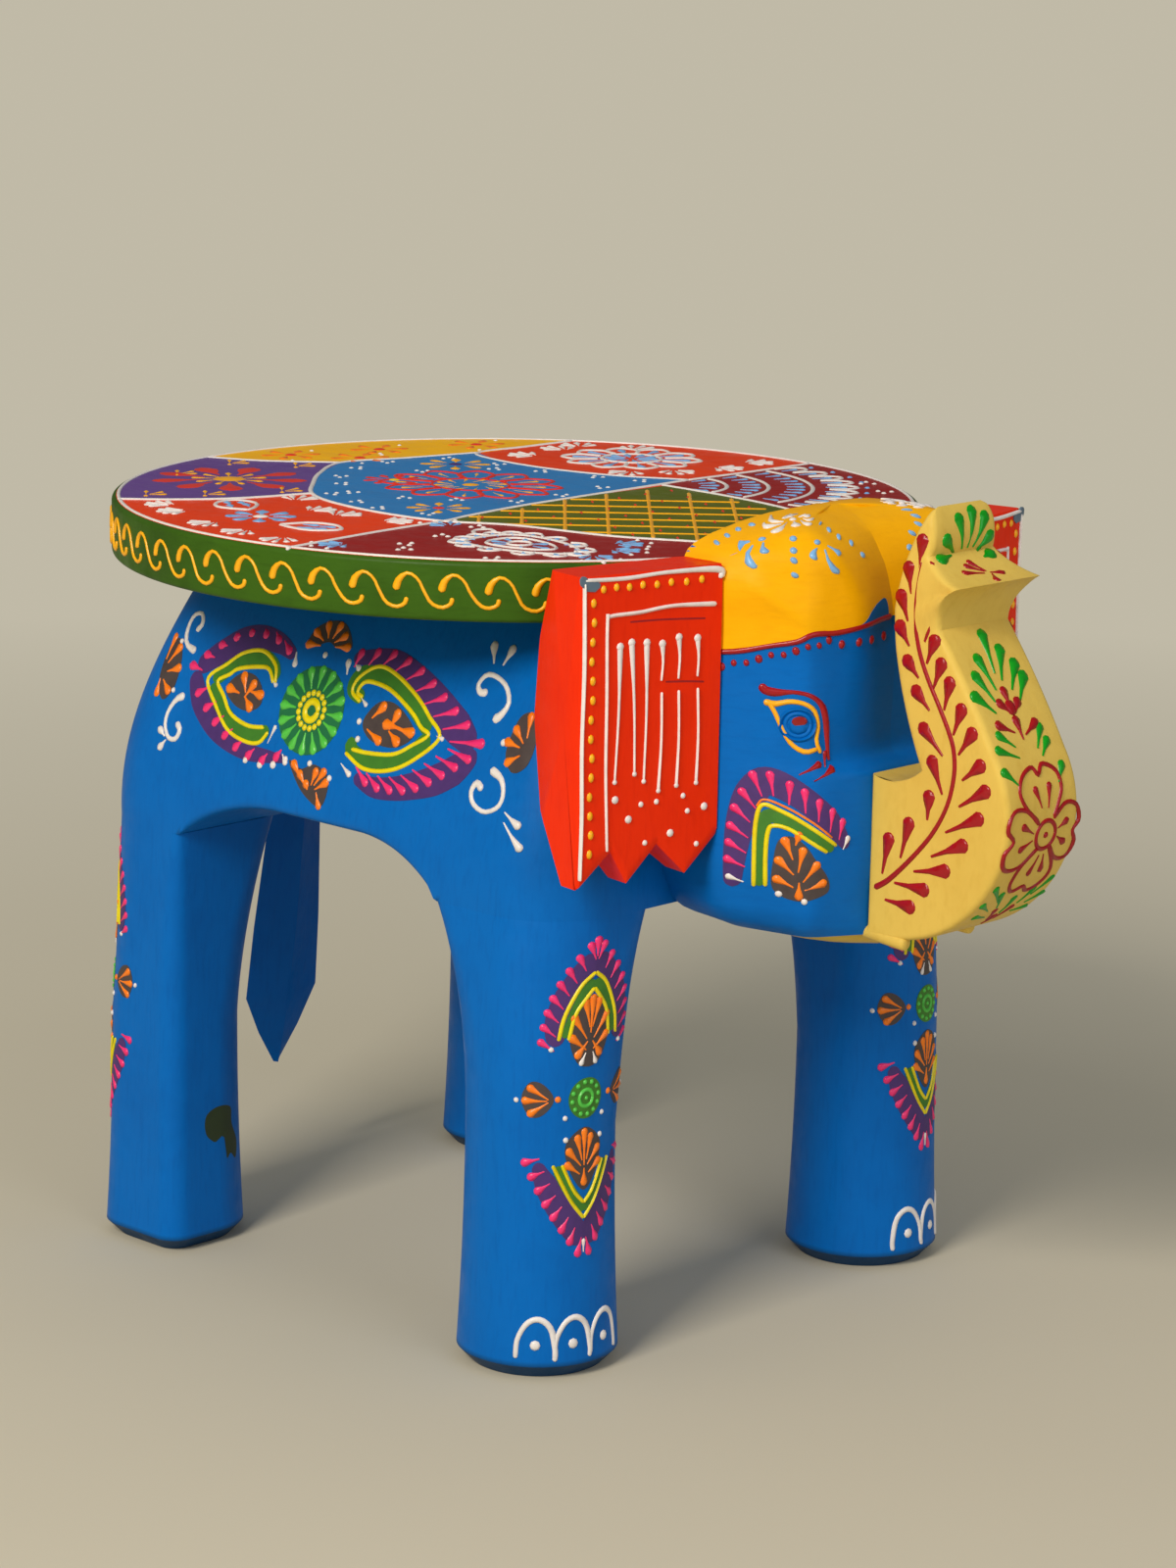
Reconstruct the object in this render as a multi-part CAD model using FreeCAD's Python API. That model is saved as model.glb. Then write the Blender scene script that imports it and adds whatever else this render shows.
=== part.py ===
import FreeCAD, Part
import math
import os

# Painted wooden elephant stool: a round seat board on a carved elephant.
# Lengths are millimetres.  X runs forward to the trunk, Y to the elephant's
# left, Z up.  Everything is laid out round the middle of the seat, and the
# whole is then moved along X so that the origin is under the middle of the
# object's box, on the floor.

V = FreeCAD.Vector

# ---- driving dimensions --------------------------------------------------
SEAT_DIAMETER = 304.8          # a 12 inch board
SEAT_THICKNESS = 21.2
SEAT_TOP = 291.6               # height of the seat above the floor
SEAT_EDGE_ROUND = 1.6

LEG_JOINT_HEIGHT = 166.0       # glue line between the legs and the body
LEG_SPREAD = 89.6              # each leg's middle from the centre plane
LEG_TOP_INSIDE = 34.0          # from a leg's middle to its inner side at the glue line
FRONT_LEG_X = 105.2
REAR_LEG_X = -91.8
FRONT_LEG_HALF = 26.6          # half width of the leg at its narrowest
REAR_LEG_HALF = 22.6
LEG_ROUNDING = 0.7             # corner radius of a leg, as a share of its half width
FOOT_FLARE = 2.6               # the foot is this much wider each side
FOOT_CHAMFER = 5.0
NARROW_HEIGHT = 88.0           # height of the narrowest part of a leg

BODY_TOP_REAR = -92.0          # body's ends and half width under the seat
BODY_TOP_FRONT = 121.0
BODY_TOP_HALF_WIDTH = 78.0
BODY_LOW_REAR = -118.0         # and where the legs join
BODY_LOW_FRONT = 131.0
BODY_LOW_HALF_WIDTH = 111.5
BODY_TOP_CORNER = 20.0         # corner radius under the seat
BODY_LOW_CORNER = 30.0         # and where the legs join
BELLY_RISE = 17.0              # how far the belly arch cuts into the body
BELLY_REAR = -66.0
BELLY_FRONT = 72.0
BELLY_REAR_SHOULDER = 50.0     # length of the arch's curve at each end
BELLY_FRONT_SHOULDER = 41.0

HEAD_BACK = 126.0              # the neck joint, a flat face
HEAD_HALF_WIDTH = 60.0         # across the head where the ears sit
HEAD_FACE_X = 188.0            # the face between the eyes
MUZZLE_X = 195.0               # flat of the muzzle, where the trunk is glued
MUZZLE_TOP = 219.0
HEAD_BOTTOM = 161.0
HEAD_TOP = 306.0

TRUNK_THICKNESS = 39.4
TRUNK_TIP_THICKNESS = 33.0
TRUNK_BOTTOM = 162.0
TRUNK_TOP = 314.6
TRUNK_SHOULDER = 272.0         # height above which the trunk narrows to its tip

EAR_TOP = SEAT_TOP + 1.4
EAR_BOTTOM = 184.5
EAR_ZIGZAG = [                 # lower edge: way in from the outer edge, rise
    (0.0, 0.0), (14.0, 12.0), (21.0, 0.0), (33.6, 12.4), (46.0, 0.6)]
EAR_INNER_RISE = 13.0          # and at the head
EAR_SIDE = [                   # the ear seen end on: way back from its face, height
    (0, EAR_TOP), (-19.5, EAR_TOP), (-26.5, 268), (-29.0, 240),
    (-24.5, 208), (-11.5, EAR_BOTTOM), (0, EAR_BOTTOM)]
EAR_OUTER_X = 149.0            # front outer corner
EAR_OUTER_Y = 118.0
EAR_SLANT = 10.6               # degrees that the ear turns outward

JAW_LENGTH = 46.0
JAW_HALF_WIDTH = 40.0
JAW_THICKNESS = 5.4

TUSK_DIAMETER = 5.4
TUSK_SPREAD = 17.9
TUSK_TIP_X = 212.5
TUSK_LENGTH = 34.0
TUSK_DROP = 8.0                # degrees below level

TAIL_TOP = 205.0
TAIL_TIP = 40.5
TAIL_WIDTH = 38.0
TAIL_THICKNESS = 12.0
TAIL_WIDEST = 71.0             # height of the tail's widest part
TAIL_LEAN = 6.0                # degrees that the tail hangs backwards

DOWEL_DIAMETER = 16.0          # leg dowels
DOWEL_LENGTH = 60.0
PEG_DIAMETER = 10.0            # dowels of the head, trunk, ears and tail
PEG_LENGTH = 36.0
PEG_END_SPACE = 1.0            # glue space at each end of a dowel hole
NECK_PEG_Y = 26.0
NECK_PEG_HEIGHT = 215.0
TRUNK_PEG_HEIGHTS = (180.0, 204.0)
EAR_PEG_X = 144.0
EAR_PEG_HEIGHTS = (216.0, 250.0)
TAIL_PEG_DIAMETER = 6.0
TAIL_PEG_LENGTH = 24.0
TAIL_PEG_DROP = 14.0           # below the top of the tail

SCREW_DIAMETER = 4.2
SCREW_HEAD_DIAMETER = 8.4
SCREW_HEAD_HEIGHT = 3.2
SCREW_LENGTH = 50.0
SCREW_POINT = 6.0
PLUG_DIAMETER = 9.6
PLUG_DEPTH = 8.0
SCREW_X = 62.0
SCREW_Y = 46.0

SEAT_CLEARANCE = 0.3           # round the seat's rim, at head and ears
CUT_MARGIN = 5.0               # how far cutting shapes run past a face

SEAT_RADIUS = SEAT_DIAMETER / 2
SEAT_UNDERSIDE = SEAT_TOP - SEAT_THICKNESS


# ---- shape helpers -------------------------------------------------------
def mirrored(shape):
    """The same piece on the elephant's other side."""
    return shape.mirror(V(0, 0, 0), V(0, 1, 0))


def cylinder(diameter, length, start, direction):
    return Part.makeCylinder(diameter / 2, length, V(*start), V(*direction))


def rounded_outline(x0, x1, y0, y1, radii, z):
    """A level rectangle with its own corner radius at each corner.

    The corners run round from (x0, y0) to (x1, y0), (x1, y1), (x0, y1).
    """
    corners = [(x0, y0, 1, 1), (x1, y0, -1, 1), (x1, y1, -1, -1), (x0, y1, 1, -1)]
    arcs = []
    for index, (x, y, sx, sy) in enumerate(corners):
        radius = radii[index]
        centre = V(x + sx * radius, y + sy * radius, z)
        along_x = centre + V(0, -sy * radius, 0)
        along_y = centre + V(-sx * radius, 0, 0)
        middle = centre + V(-sx * radius, -sy * radius, 0) * math.sqrt(0.5)
        if index % 2 == 0:
            arcs.append((along_y, middle, along_x))
        else:
            arcs.append((along_x, middle, along_y))
    edges = []
    for index, (start, middle, end) in enumerate(arcs):
        edges.append(Part.Arc(start, middle, end).toShape())
        following = arcs[(index + 1) % len(arcs)][0]
        edges.append(Part.LineSegment(end, following).toShape())
    return Part.Wire(edges)


def polygon(points):
    return Part.makePolygon([V(*p) for p in points] + [V(*points[0])])


def prism(points, direction):
    """A closed flat outline carried along a straight line."""
    return Part.Face(polygon(points)).extrude(V(*direction))


def blend(low, high, share):
    return low + (high - low) * share


# ---- seat ----------------------------------------------------------------
def make_seat():
    seat = cylinder(SEAT_DIAMETER, SEAT_THICKNESS, (0, 0, SEAT_UNDERSIDE), (0, 0, 1))
    return seat.makeFillet(SEAT_EDGE_ROUND, seat.Edges)


# ---- body ----------------------------------------------------------------
def body_limits(z):
    """Rear, front, half width and corner radius of the body at a height.

    The sides lean in towards the seat along a quarter of a cosine, so they
    are upright at the legs and lean most under the seat.
    """
    share = (z - LEG_JOINT_HEIGHT) / (SEAT_UNDERSIDE - LEG_JOINT_HEIGHT)
    lean = 1 - math.cos(share * math.pi / 2)
    rear = blend(BODY_LOW_REAR, BODY_TOP_REAR, lean)
    front = blend(BODY_LOW_FRONT, BODY_TOP_FRONT, lean)
    half = blend(BODY_LOW_HALF_WIDTH, BODY_TOP_HALF_WIDTH, lean)
    return rear, front, half, blend(BODY_LOW_CORNER, BODY_TOP_CORNER, share)


def belly_cutter():
    """The arch under the belly: flat along the top with rounded shoulders."""
    width = 2 * (BODY_LOW_HALF_WIDTH + CUT_MARGIN)
    base = LEG_JOINT_HEIGHT
    low = base - CUT_MARGIN
    crown = base + BELLY_RISE
    rear_shoulder = BELLY_REAR + BELLY_REAR_SHOULDER
    front_shoulder = BELLY_FRONT - BELLY_FRONT_SHOULDER
    haunch = 0.7                 # the curves' middles lie this share of the rise up
    y = -width / 2
    rear_arc = Part.Arc(
        V(BELLY_REAR, y, base),
        V(BELLY_REAR + 0.45 * BELLY_REAR_SHOULDER, y, base + haunch * BELLY_RISE),
        V(rear_shoulder, y, crown))
    front_arc = Part.Arc(
        V(front_shoulder, y, crown),
        V(BELLY_FRONT - 0.45 * BELLY_FRONT_SHOULDER, y, base + haunch * BELLY_RISE),
        V(BELLY_FRONT, y, base))
    edges = [
        rear_arc.toShape(),
        Part.LineSegment(V(rear_shoulder, y, crown), V(front_shoulder, y, crown)).toShape(),
        front_arc.toShape(),
        Part.LineSegment(V(BELLY_FRONT, y, base), V(BELLY_FRONT, y, low)).toShape(),
        Part.LineSegment(V(BELLY_FRONT, y, low), V(BELLY_REAR, y, low)).toShape(),
        Part.LineSegment(V(BELLY_REAR, y, low), V(BELLY_REAR, y, base)).toShape(),
    ]
    return Part.Face(Part.Wire(edges)).extrude(V(0, width, 0))


def make_body():
    sections = []
    for step in range(5):
        z = blend(LEG_JOINT_HEIGHT, SEAT_UNDERSIDE, step / 4)
        rear, front, half, radius = body_limits(z)
        sections.append(rounded_outline(rear, front, -half, half, [radius] * 4, z))
    return Part.makeLoft(sections, True).cut(belly_cutter())


def neck_housing():
    """The flat let into the front of the body for the back of the head."""
    return Part.makeBox(
        BODY_LOW_FRONT, 2 * HEAD_HALF_WIDTH, SEAT_UNDERSIDE,
        V(HEAD_BACK, -HEAD_HALF_WIDTH, 0))


# ---- legs ----------------------------------------------------------------
def make_leg(middle_x, half, outer_x, inner_x):
    """One right-hand leg, from its foot to the glue line under the body.

    outer_x is the body's end above the leg and inner_x the foot of the belly
    arch, so the top of the leg is exactly as wide as the body above it.  The
    leg is narrowest at NARROW_HEIGHT, flares to the foot along a parabola and
    swells to the body along a cubic inside and a parabola outside.
    """
    forward = 1 if outer_x > inner_x else -1
    corner = body_limits(LEG_JOINT_HEIGHT)[3]
    top_out = abs(outer_x - middle_x)
    top_in = abs(middle_x - inner_x)
    top_side = BODY_LOW_HALF_WIDTH - LEG_SPREAD

    def outline(z, half_here, share):
        reach_out = blend(half_here, top_out, share ** 2)
        reach_in = blend(half_here, top_in, share ** 3)
        side_out = blend(half_here, top_side, share ** 2)
        side_in = blend(half_here, LEG_TOP_INSIDE, share ** 3)
        ends = sorted([middle_x + forward * reach_out, middle_x - forward * reach_in])
        plain = LEG_ROUNDING * half_here
        outer = blend(plain, corner, share)
        radii = [plain, outer, plain, plain] if forward > 0 else [outer, plain, plain, plain]
        return rounded_outline(
            ends[0], ends[1], -LEG_SPREAD - side_out, -LEG_SPREAD + side_in, radii, z)

    sections = [outline(0, half + FOOT_FLARE - FOOT_CHAMFER, 0)]
    for step in range(5):
        z = blend(FOOT_CHAMFER, NARROW_HEIGHT, step / 4)
        flare = ((NARROW_HEIGHT - z) / NARROW_HEIGHT) ** 2
        sections.append(outline(z, half + FOOT_FLARE * flare, 0))
    for step in range(1, 9):
        share = step / 8
        z = blend(NARROW_HEIGHT, LEG_JOINT_HEIGHT, share)
        sections.append(outline(z, half, share))
    return Part.makeLoft(sections, True, True)


# ---- head ----------------------------------------------------------------
def half_head_sections():
    """Level outlines of the right half of the head, from the chin upwards.

    Each is (height, points), and the points run from the middle of the back,
    out along the neck joint and the cheek to the middle of the face.  Above
    the brow they close in on the top of one dome, which leaves a valley
    between the two.
    """
    back = HEAD_BACK
    wide = HEAD_HALF_WIDTH
    face = HEAD_FACE_X
    nose = MUZZLE_X
    low = HEAD_BOTTOM
    top = HEAD_TOP
    neck = MUZZLE_TOP
    rows = [
        (low, [
            (back + 16, 0), (back + 16, 20 - wide), (155, 16 - wide),
            (184, 22 - wide), (nose, -18), (nose, 0)]),
        (low + 11, [
            (back, 0), (back, 8 - wide), (157, 3 - wide),
            (189, 18 - wide), (nose, -20), (nose, 0)]),
        (low + 29, [
            (back, 0), (back, 1 - wide), (160, -wide),
            (190, 17 - wide), (nose + 1, -21), (nose + 1, 0)]),
        (neck, [
            (back, 0), (back, -wide), (159, -wide),
            (188, 18 - wide), (nose, -21), (nose, 0)]),
        (neck + 9, [
            (back, 0), (back, -wide), (159, -wide),
            (186, 18 - wide), (face, -22), (face - 1, 0)]),
        (neck + 39, [
            (back, 0), (back, -wide), (158, -wide),
            (184, 19 - wide), (face + 1, -20), (face, 0)]),
        (top - 34, [
            (back, 0), (back, -wide), (157, -wide),
            (184, 17 - wide), (face + 2, -20), (face - 2, 0)]),
        (top - 20, [
            (back, 0), (back, -wide), (157, -wide),
            (181, 10 - wide), (face, -25), (face - 5, 0)]),
        (top - 11, [
            (back, 0), (back, 2 - wide), (152, 2 - wide),
            (176, 9 - wide), (face - 2, -31), (face - 10, 0)]),
        (top - 5, [
            (back, 0), (back, 16 - wide), (152, 14 - wide),
            (173, 14 - wide), (face - 7, -34), (face - 15, -2)]),
        (top - 2, [
            (back, 0), (back, -30), (152, -33),
            (169, -40), (face - 12, -34), (face - 21, -5)]),
        (top, [
            (back, -2), (back, -16), (152, -19),
            (159, -24), (163, -19), (159, -8)]),
    ]
    return rows


def make_head(seat_relief, ear_relief):
    wires = [polygon([(x, y, z) for x, y in points]) for z, points in half_head_sections()]
    half = Part.makeLoft(wires, True, True)
    head = half.fuse(mirrored(half)).removeSplitter()
    return head.cut(seat_relief).cut(ear_relief)


def make_jaw():
    """The lower lip, a leaf-shaped plate under the front of the head."""
    tip = MUZZLE_X + 1
    top = HEAD_BOTTOM
    shares = [(0.0, 0.25), (0.17, 0.62), (0.45, 1.0), (0.72, 0.8)]  # way back, half width
    right = [(tip - back * JAW_LENGTH, -wide * JAW_HALF_WIDTH) for back, wide in shares]
    left = [(x, -y) for x, y in reversed(right)]
    plan = right + [(tip - JAW_LENGTH, 0)] + left
    middle = tip - JAW_LENGTH / 2
    underside = 0.72               # the plate's lower face, as a share of its upper one
    upper = polygon([(x, y, top) for x, y in plan])
    lower = polygon([
        (blend(middle, x, underside), y * underside, top - JAW_THICKNESS) for x, y in plan])
    return Part.makeLoft([upper, lower], True, True)


# ---- trunk ---------------------------------------------------------------
def trunk_profile():
    """Side outline of the trunk plank: straight runs joined by arcs.

    It stands on a foot that is glued to the face, swells forward in a belly,
    and rises behind the forehead side to a rounded tip over a hooked lip.
    """
    face = MUZZLE_X

    def point(x, z):
        return V(x, -TRUNK_THICKNESS / 2, z)

    def arc(a, b, c):
        return Part.Arc(point(*a), point(*b), point(*c)).toShape()

    def line(a, b):
        return Part.LineSegment(point(*a), point(*b)).toShape()

    foot_low = (face, TRUNK_BOTTOM)
    foot_high = (face, MUZZLE_TOP)
    return Part.Wire([
        arc(foot_low, (230.5, 170.0), (251.0, 193.0)),
        arc((251.0, 193.0), (256.4, 214.0), (250.0, 232.5)),
        arc((250.0, 232.5), (238.0, 252.5), (223.0, 273.5)),
        line((223.0, 273.5), (233.8, 289.6)),
        arc((233.8, 289.6), (225.0, 292.4), (216.6, 298.2)),
        arc((216.6, 298.2), (217.2, 309.0), (214.5, TRUNK_TOP)),
        arc((214.5, TRUNK_TOP), (206.6, 299.0), (201.6, 278.0)),
        arc((201.6, 278.0), (206.0, 253.0), (216.8, 223.5)),
        line((216.8, 223.5), foot_high),
        line(foot_high, (face + 1, HEAD_BOTTOM + 29)),
        line((face + 1, HEAD_BOTTOM + 29), (face, HEAD_BOTTOM + 11)),
        line((face, HEAD_BOTTOM + 11), foot_low),
    ])


def make_trunk():
    plank = Part.Face(trunk_profile()).extrude(V(0, TRUNK_THICKNESS, 0))
    taper = (TRUNK_THICKNESS - TRUNK_TIP_THICKNESS) / 2
    shoulder = TRUNK_SHOULDER
    top = TRUNK_TOP + CUT_MARGIN
    lean = taper * (top - shoulder) / (TRUNK_TOP - shoulder)
    start = MUZZLE_X - CUT_MARGIN
    for side in (-1, 1):
        edge = side * TRUNK_THICKNESS / 2
        clear = edge + side * CUT_MARGIN
        corners = [(start, edge, shoulder), (start, edge - side * lean, top),
                   (start, clear, top), (start, clear, shoulder)]
        plank = plank.cut(prism(corners, (SEAT_DIAMETER, 0, 0)))
    return plank


def make_tusk():
    """A round peg let into the foot of the trunk, its end rounded."""
    slope = math.radians(TUSK_DROP)
    along = (math.cos(slope), 0, -math.sin(slope))
    start = (TUSK_TIP_X - TUSK_LENGTH * along[0], -TUSK_SPREAD,
             HEAD_BOTTOM + TUSK_LENGTH * math.sin(slope))
    peg = cylinder(TUSK_DIAMETER, TUSK_LENGTH, start, along)
    return peg.makeFillet(1.2, [peg.Edges[0], peg.Edges[2]])


# ---- ears ----------------------------------------------------------------
def ear_frame():
    """Outer front corner of the right ear, and the way in along its face."""
    slant = math.radians(EAR_SLANT)
    corner = V(EAR_OUTER_X, -EAR_OUTER_Y, 0)
    inward = V(math.sin(slant), math.cos(slant), 0)
    return corner, inward


def make_ear(seat_relief):
    """A carved ear: upright front, a back that bulges, a zigzag lower edge."""
    corner, inward = ear_frame()
    out = V(inward.y, -inward.x, 0)
    width = (EAR_OUTER_Y - HEAD_HALF_WIDTH) / inward.y
    depth = max(-back for back, z in EAR_SIDE) + CUT_MARGIN
    outline = [(0, EAR_TOP)] + [(s, EAR_BOTTOM + rise) for s, rise in EAR_ZIGZAG]
    outline.append((width, EAR_BOTTOM + EAR_INNER_RISE))
    outline.append((width, EAR_TOP))
    face = [corner + inward * s + V(0, 0, z) for s, z in outline]
    block = Part.Face(Part.makePolygon(face + [face[0]])).extrude(out * -depth)
    start = corner - inward * CUT_MARGIN
    ring = [start + V(back, 0, z) for back, z in EAR_SIDE]
    bulge = Part.Face(Part.makePolygon(ring + [ring[0]])).extrude(inward * (width + 2 * CUT_MARGIN))
    return block.common(bulge).cut(seat_relief)


# ---- tail ----------------------------------------------------------------
def make_tail():
    """A flat leaf with a ridge down each face, hanging from the rump."""
    def ring(z, half_width, thickness):
        ridge = thickness / 2
        return polygon([(-ridge, 0, z), (0, -half_width, z), (ridge, 0, z), (0, half_width, z)])

    half = TAIL_WIDTH / 2
    rings = [
        ring(TAIL_TIP, 2.5, 4.0),
        ring(TAIL_WIDEST, half, TAIL_THICKNESS * 0.8),
        ring(TAIL_WIDEST + 30, half * 0.93, TAIL_THICKNESS),
        ring(TAIL_TOP - 55, half * 0.72, TAIL_THICKNESS),
        ring(TAIL_TOP, half * 0.40, TAIL_THICKNESS * 0.8),
    ]
    tail = Part.makeLoft(rings, True, True)
    tail.translate(V(0, 0, -TAIL_TOP))
    tail.rotate(V(0, 0, 0), V(0, 1, 0), TAIL_LEAN)
    return tail


def seat_tail(tail, body):
    """Move the tail forward until its root is let a little into the rump."""
    rear = body_limits(TAIL_TOP - 8)[0]
    tail.translate(V(rear - TAIL_THICKNESS * 0.2, 0, TAIL_TOP))
    return tail.cut(body)


# ---- fixings -------------------------------------------------------------
def drilled(shape, rods, extra):
    """The shape with a hole for each rod, longer by the glue space."""
    for start, direction, diameter, length in rods:
        way = V(*direction)
        way.normalize()
        begin = V(*start) - way * extra
        shape = shape.cut(Part.makeCylinder(diameter / 2, length + 2 * extra, begin, way))
    return shape


def rod_solids(rods):
    solids = []
    for start, direction, diameter, length in rods:
        solids.append(Part.makeCylinder(diameter / 2, length, V(*start), V(*direction)))
    return solids


def both_sides(rods):
    return rods + [((x, -y, z), (a, -b, c), d, n) for (x, y, z), (a, b, c), d, n in rods]


def leg_rods():
    low = LEG_JOINT_HEIGHT - DOWEL_LENGTH / 2
    across = -LEG_SPREAD + 4
    places = [FRONT_LEG_X - 4, REAR_LEG_X + 2]
    return both_sides([((x, across, low), (0, 0, 1), DOWEL_DIAMETER, DOWEL_LENGTH) for x in places])


def neck_rods():
    start = HEAD_BACK - PEG_LENGTH / 2
    return both_sides([((start, -NECK_PEG_Y, NECK_PEG_HEIGHT), (1, 0, 0), PEG_DIAMETER, PEG_LENGTH)])


def trunk_rods():
    start = MUZZLE_X - PEG_LENGTH / 2
    return [((start, 0, z), (1, 0, 0), PEG_DIAMETER, PEG_LENGTH) for z in TRUNK_PEG_HEIGHTS]


def ear_rods():
    start = -HEAD_HALF_WIDTH - PEG_LENGTH / 2
    rods = [((EAR_PEG_X, start, z), (0, 1, 0), PEG_DIAMETER, PEG_LENGTH) for z in EAR_PEG_HEIGHTS]
    return both_sides(rods)


def tail_rods():
    height = TAIL_TOP - TAIL_PEG_DROP
    start = body_limits(height)[0] - TAIL_THICKNESS / 3
    return [((start, 0, height), (1, 0, 0), TAIL_PEG_DIAMETER, TAIL_PEG_LENGTH)]


def screw_places():
    return [(sx * SCREW_X, sy * SCREW_Y) for sx in (-1, 1) for sy in (-1, 1)]


def make_screw(x, y):
    """A countersunk wood screw, its head under the plug in the seat."""
    head_top = SEAT_TOP - PLUG_DEPTH
    head = Part.makeCone(SCREW_DIAMETER / 2, SCREW_HEAD_DIAMETER / 2, SCREW_HEAD_HEIGHT,
                         V(x, y, head_top - SCREW_HEAD_HEIGHT))
    straight = SCREW_LENGTH - SCREW_HEAD_HEIGHT - SCREW_POINT
    shank = cylinder(SCREW_DIAMETER, straight, (x, y, head_top - SCREW_HEAD_HEIGHT - straight), (0, 0, 1))
    point = Part.makeCone(0.3, SCREW_DIAMETER / 2, SCREW_POINT, V(x, y, head_top - SCREW_LENGTH))
    return head.fuse([shank, point]).removeSplitter()


def make_plug(x, y):
    return cylinder(PLUG_DIAMETER, PLUG_DEPTH, (x, y, SEAT_TOP - PLUG_DEPTH), (0, 0, 1))


# ---- assembly ------------------------------------------------------------
def build():
    seat_relief = cylinder(
        SEAT_DIAMETER + 2 * SEAT_CLEARANCE, SEAT_THICKNESS + 60, (0, 0, SEAT_UNDERSIDE), (0, 0, 1))
    parts = {}
    ear = make_ear(seat_relief)
    head = make_head(seat_relief, ear)
    head = head.cut(mirrored(ear))
    body = make_body().cut([ear, mirrored(ear), neck_housing()])
    seat = make_seat()
    screws = [make_screw(x, y) for x, y in screw_places()]
    plugs = [make_plug(x, y) for x, y in screw_places()]
    for tool in screws + plugs:
        seat = seat.cut(tool)
    for tool in screws:
        body = body.cut(tool)
    tail = seat_tail(make_tail(), body)
    legs = {
        "leg_front_right": make_leg(FRONT_LEG_X, FRONT_LEG_HALF, BODY_LOW_FRONT, BELLY_FRONT),
        "leg_rear_right": make_leg(REAR_LEG_X, REAR_LEG_HALF, BODY_LOW_REAR, BELLY_REAR),
    }
    legs["leg_front_left"] = mirrored(legs["leg_front_right"])
    legs["leg_rear_left"] = mirrored(legs["leg_rear_right"])
    trunk = make_trunk()
    tusk = make_tusk()
    jaw = make_jaw()
    for side_tusk in (tusk, mirrored(tusk)):
        trunk = trunk.cut(side_tusk)
        head = head.cut(side_tusk)
        jaw = jaw.cut(side_tusk)
    parts["seat_board"] = seat
    parts["body_block"] = drilled(body, leg_rods() + neck_rods() + tail_rods(), PEG_END_SPACE)
    for name, leg in legs.items():
        parts[name] = drilled(leg, leg_rods(), PEG_END_SPACE)
    parts["head_block"] = drilled(head, neck_rods() + trunk_rods() + ear_rods(), PEG_END_SPACE)
    parts["trunk"] = drilled(trunk, trunk_rods(), PEG_END_SPACE)
    parts["lower_lip"] = jaw
    parts["ear_right"] = drilled(ear, ear_rods(), PEG_END_SPACE)
    parts["ear_left"] = drilled(mirrored(ear), ear_rods(), PEG_END_SPACE)
    parts["tusk_right"] = tusk
    parts["tusk_left"] = mirrored(tusk)
    parts["tail"] = drilled(tail, tail_rods(), PEG_END_SPACE)
    parts["leg_dowels"] = Part.makeCompound(rod_solids(leg_rods()))
    parts["neck_dowels"] = Part.makeCompound(rod_solids(neck_rods()))
    parts["trunk_dowels"] = Part.makeCompound(rod_solids(trunk_rods()))
    parts["ear_dowels"] = Part.makeCompound(rod_solids(ear_rods()))
    parts["tail_dowel"] = Part.makeCompound(rod_solids(tail_rods()))
    parts["seat_screws"] = Part.makeCompound(screws)
    parts["screw_plugs"] = Part.makeCompound(plugs)
    return parts


def main():
    os.makedirs("parts", exist_ok=True)
    parts = build()
    trunk_front = parts["trunk"].BoundBox.XMax
    shift = V((SEAT_RADIUS - trunk_front) / 2, 0, 0)
    for name, shape in parts.items():
        shape.translate(shift)
        shape.exportStep("parts/" + name + ".step")
        print(name, len(shape.Solids), round(shape.Volume), shape.isValid())
    print("seat centre at x =", round(shift.x, 3))


main()
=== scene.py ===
"""Looks of a hand-painted wooden elephant stool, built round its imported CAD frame.

Shapes are worked out in millimetres round the middle of the seat, with X
forward to the trunk, Y to the elephant's left and Z up from the floor.
metres() moves them into the frame.
"""
import math

import bmesh
import bpy
import numpy as np
from mathutils import Matrix, Vector


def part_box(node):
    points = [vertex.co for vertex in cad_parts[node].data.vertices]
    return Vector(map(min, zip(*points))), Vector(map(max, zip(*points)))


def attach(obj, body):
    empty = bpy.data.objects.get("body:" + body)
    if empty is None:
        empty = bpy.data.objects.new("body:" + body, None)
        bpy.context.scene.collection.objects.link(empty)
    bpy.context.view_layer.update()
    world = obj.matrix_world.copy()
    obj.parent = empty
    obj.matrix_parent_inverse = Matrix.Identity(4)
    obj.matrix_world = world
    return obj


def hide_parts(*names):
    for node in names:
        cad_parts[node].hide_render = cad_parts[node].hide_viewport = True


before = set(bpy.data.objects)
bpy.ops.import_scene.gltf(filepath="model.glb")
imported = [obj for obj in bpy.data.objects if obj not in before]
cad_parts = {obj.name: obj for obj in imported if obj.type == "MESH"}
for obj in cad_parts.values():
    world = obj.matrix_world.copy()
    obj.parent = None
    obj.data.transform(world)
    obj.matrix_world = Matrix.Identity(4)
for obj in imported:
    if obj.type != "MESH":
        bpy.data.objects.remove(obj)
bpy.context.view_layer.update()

MM = 0.001
seat_low, seat_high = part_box("seat_board")
SEAT_OFFSET = np.array([(seat_low.x + seat_high.x) / 2, 0.0, 0.0])

# ---- sizes shared with the CAD frame, in millimetres
SEAT_RADIUS = (seat_high.y - seat_low.y) / 2 / MM
SEAT_TOP = seat_high.z / MM
SEAT_UNDER = seat_low.z / MM
SEAT_EDGE = 1.8                # rounding of the board's rims
RIM_GAP = 0.3                  # from the board to the head and ears

JOINT = 166.0                  # glue line between the legs and the body
LEG_SPREAD = 89.6
NARROW = 88.0                  # height of the narrowest part of a leg
FOOT_CHAMFER = 5.0
FOOT_FLARE = 2.6
LEG_TOP_INSIDE = 34.0

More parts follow.
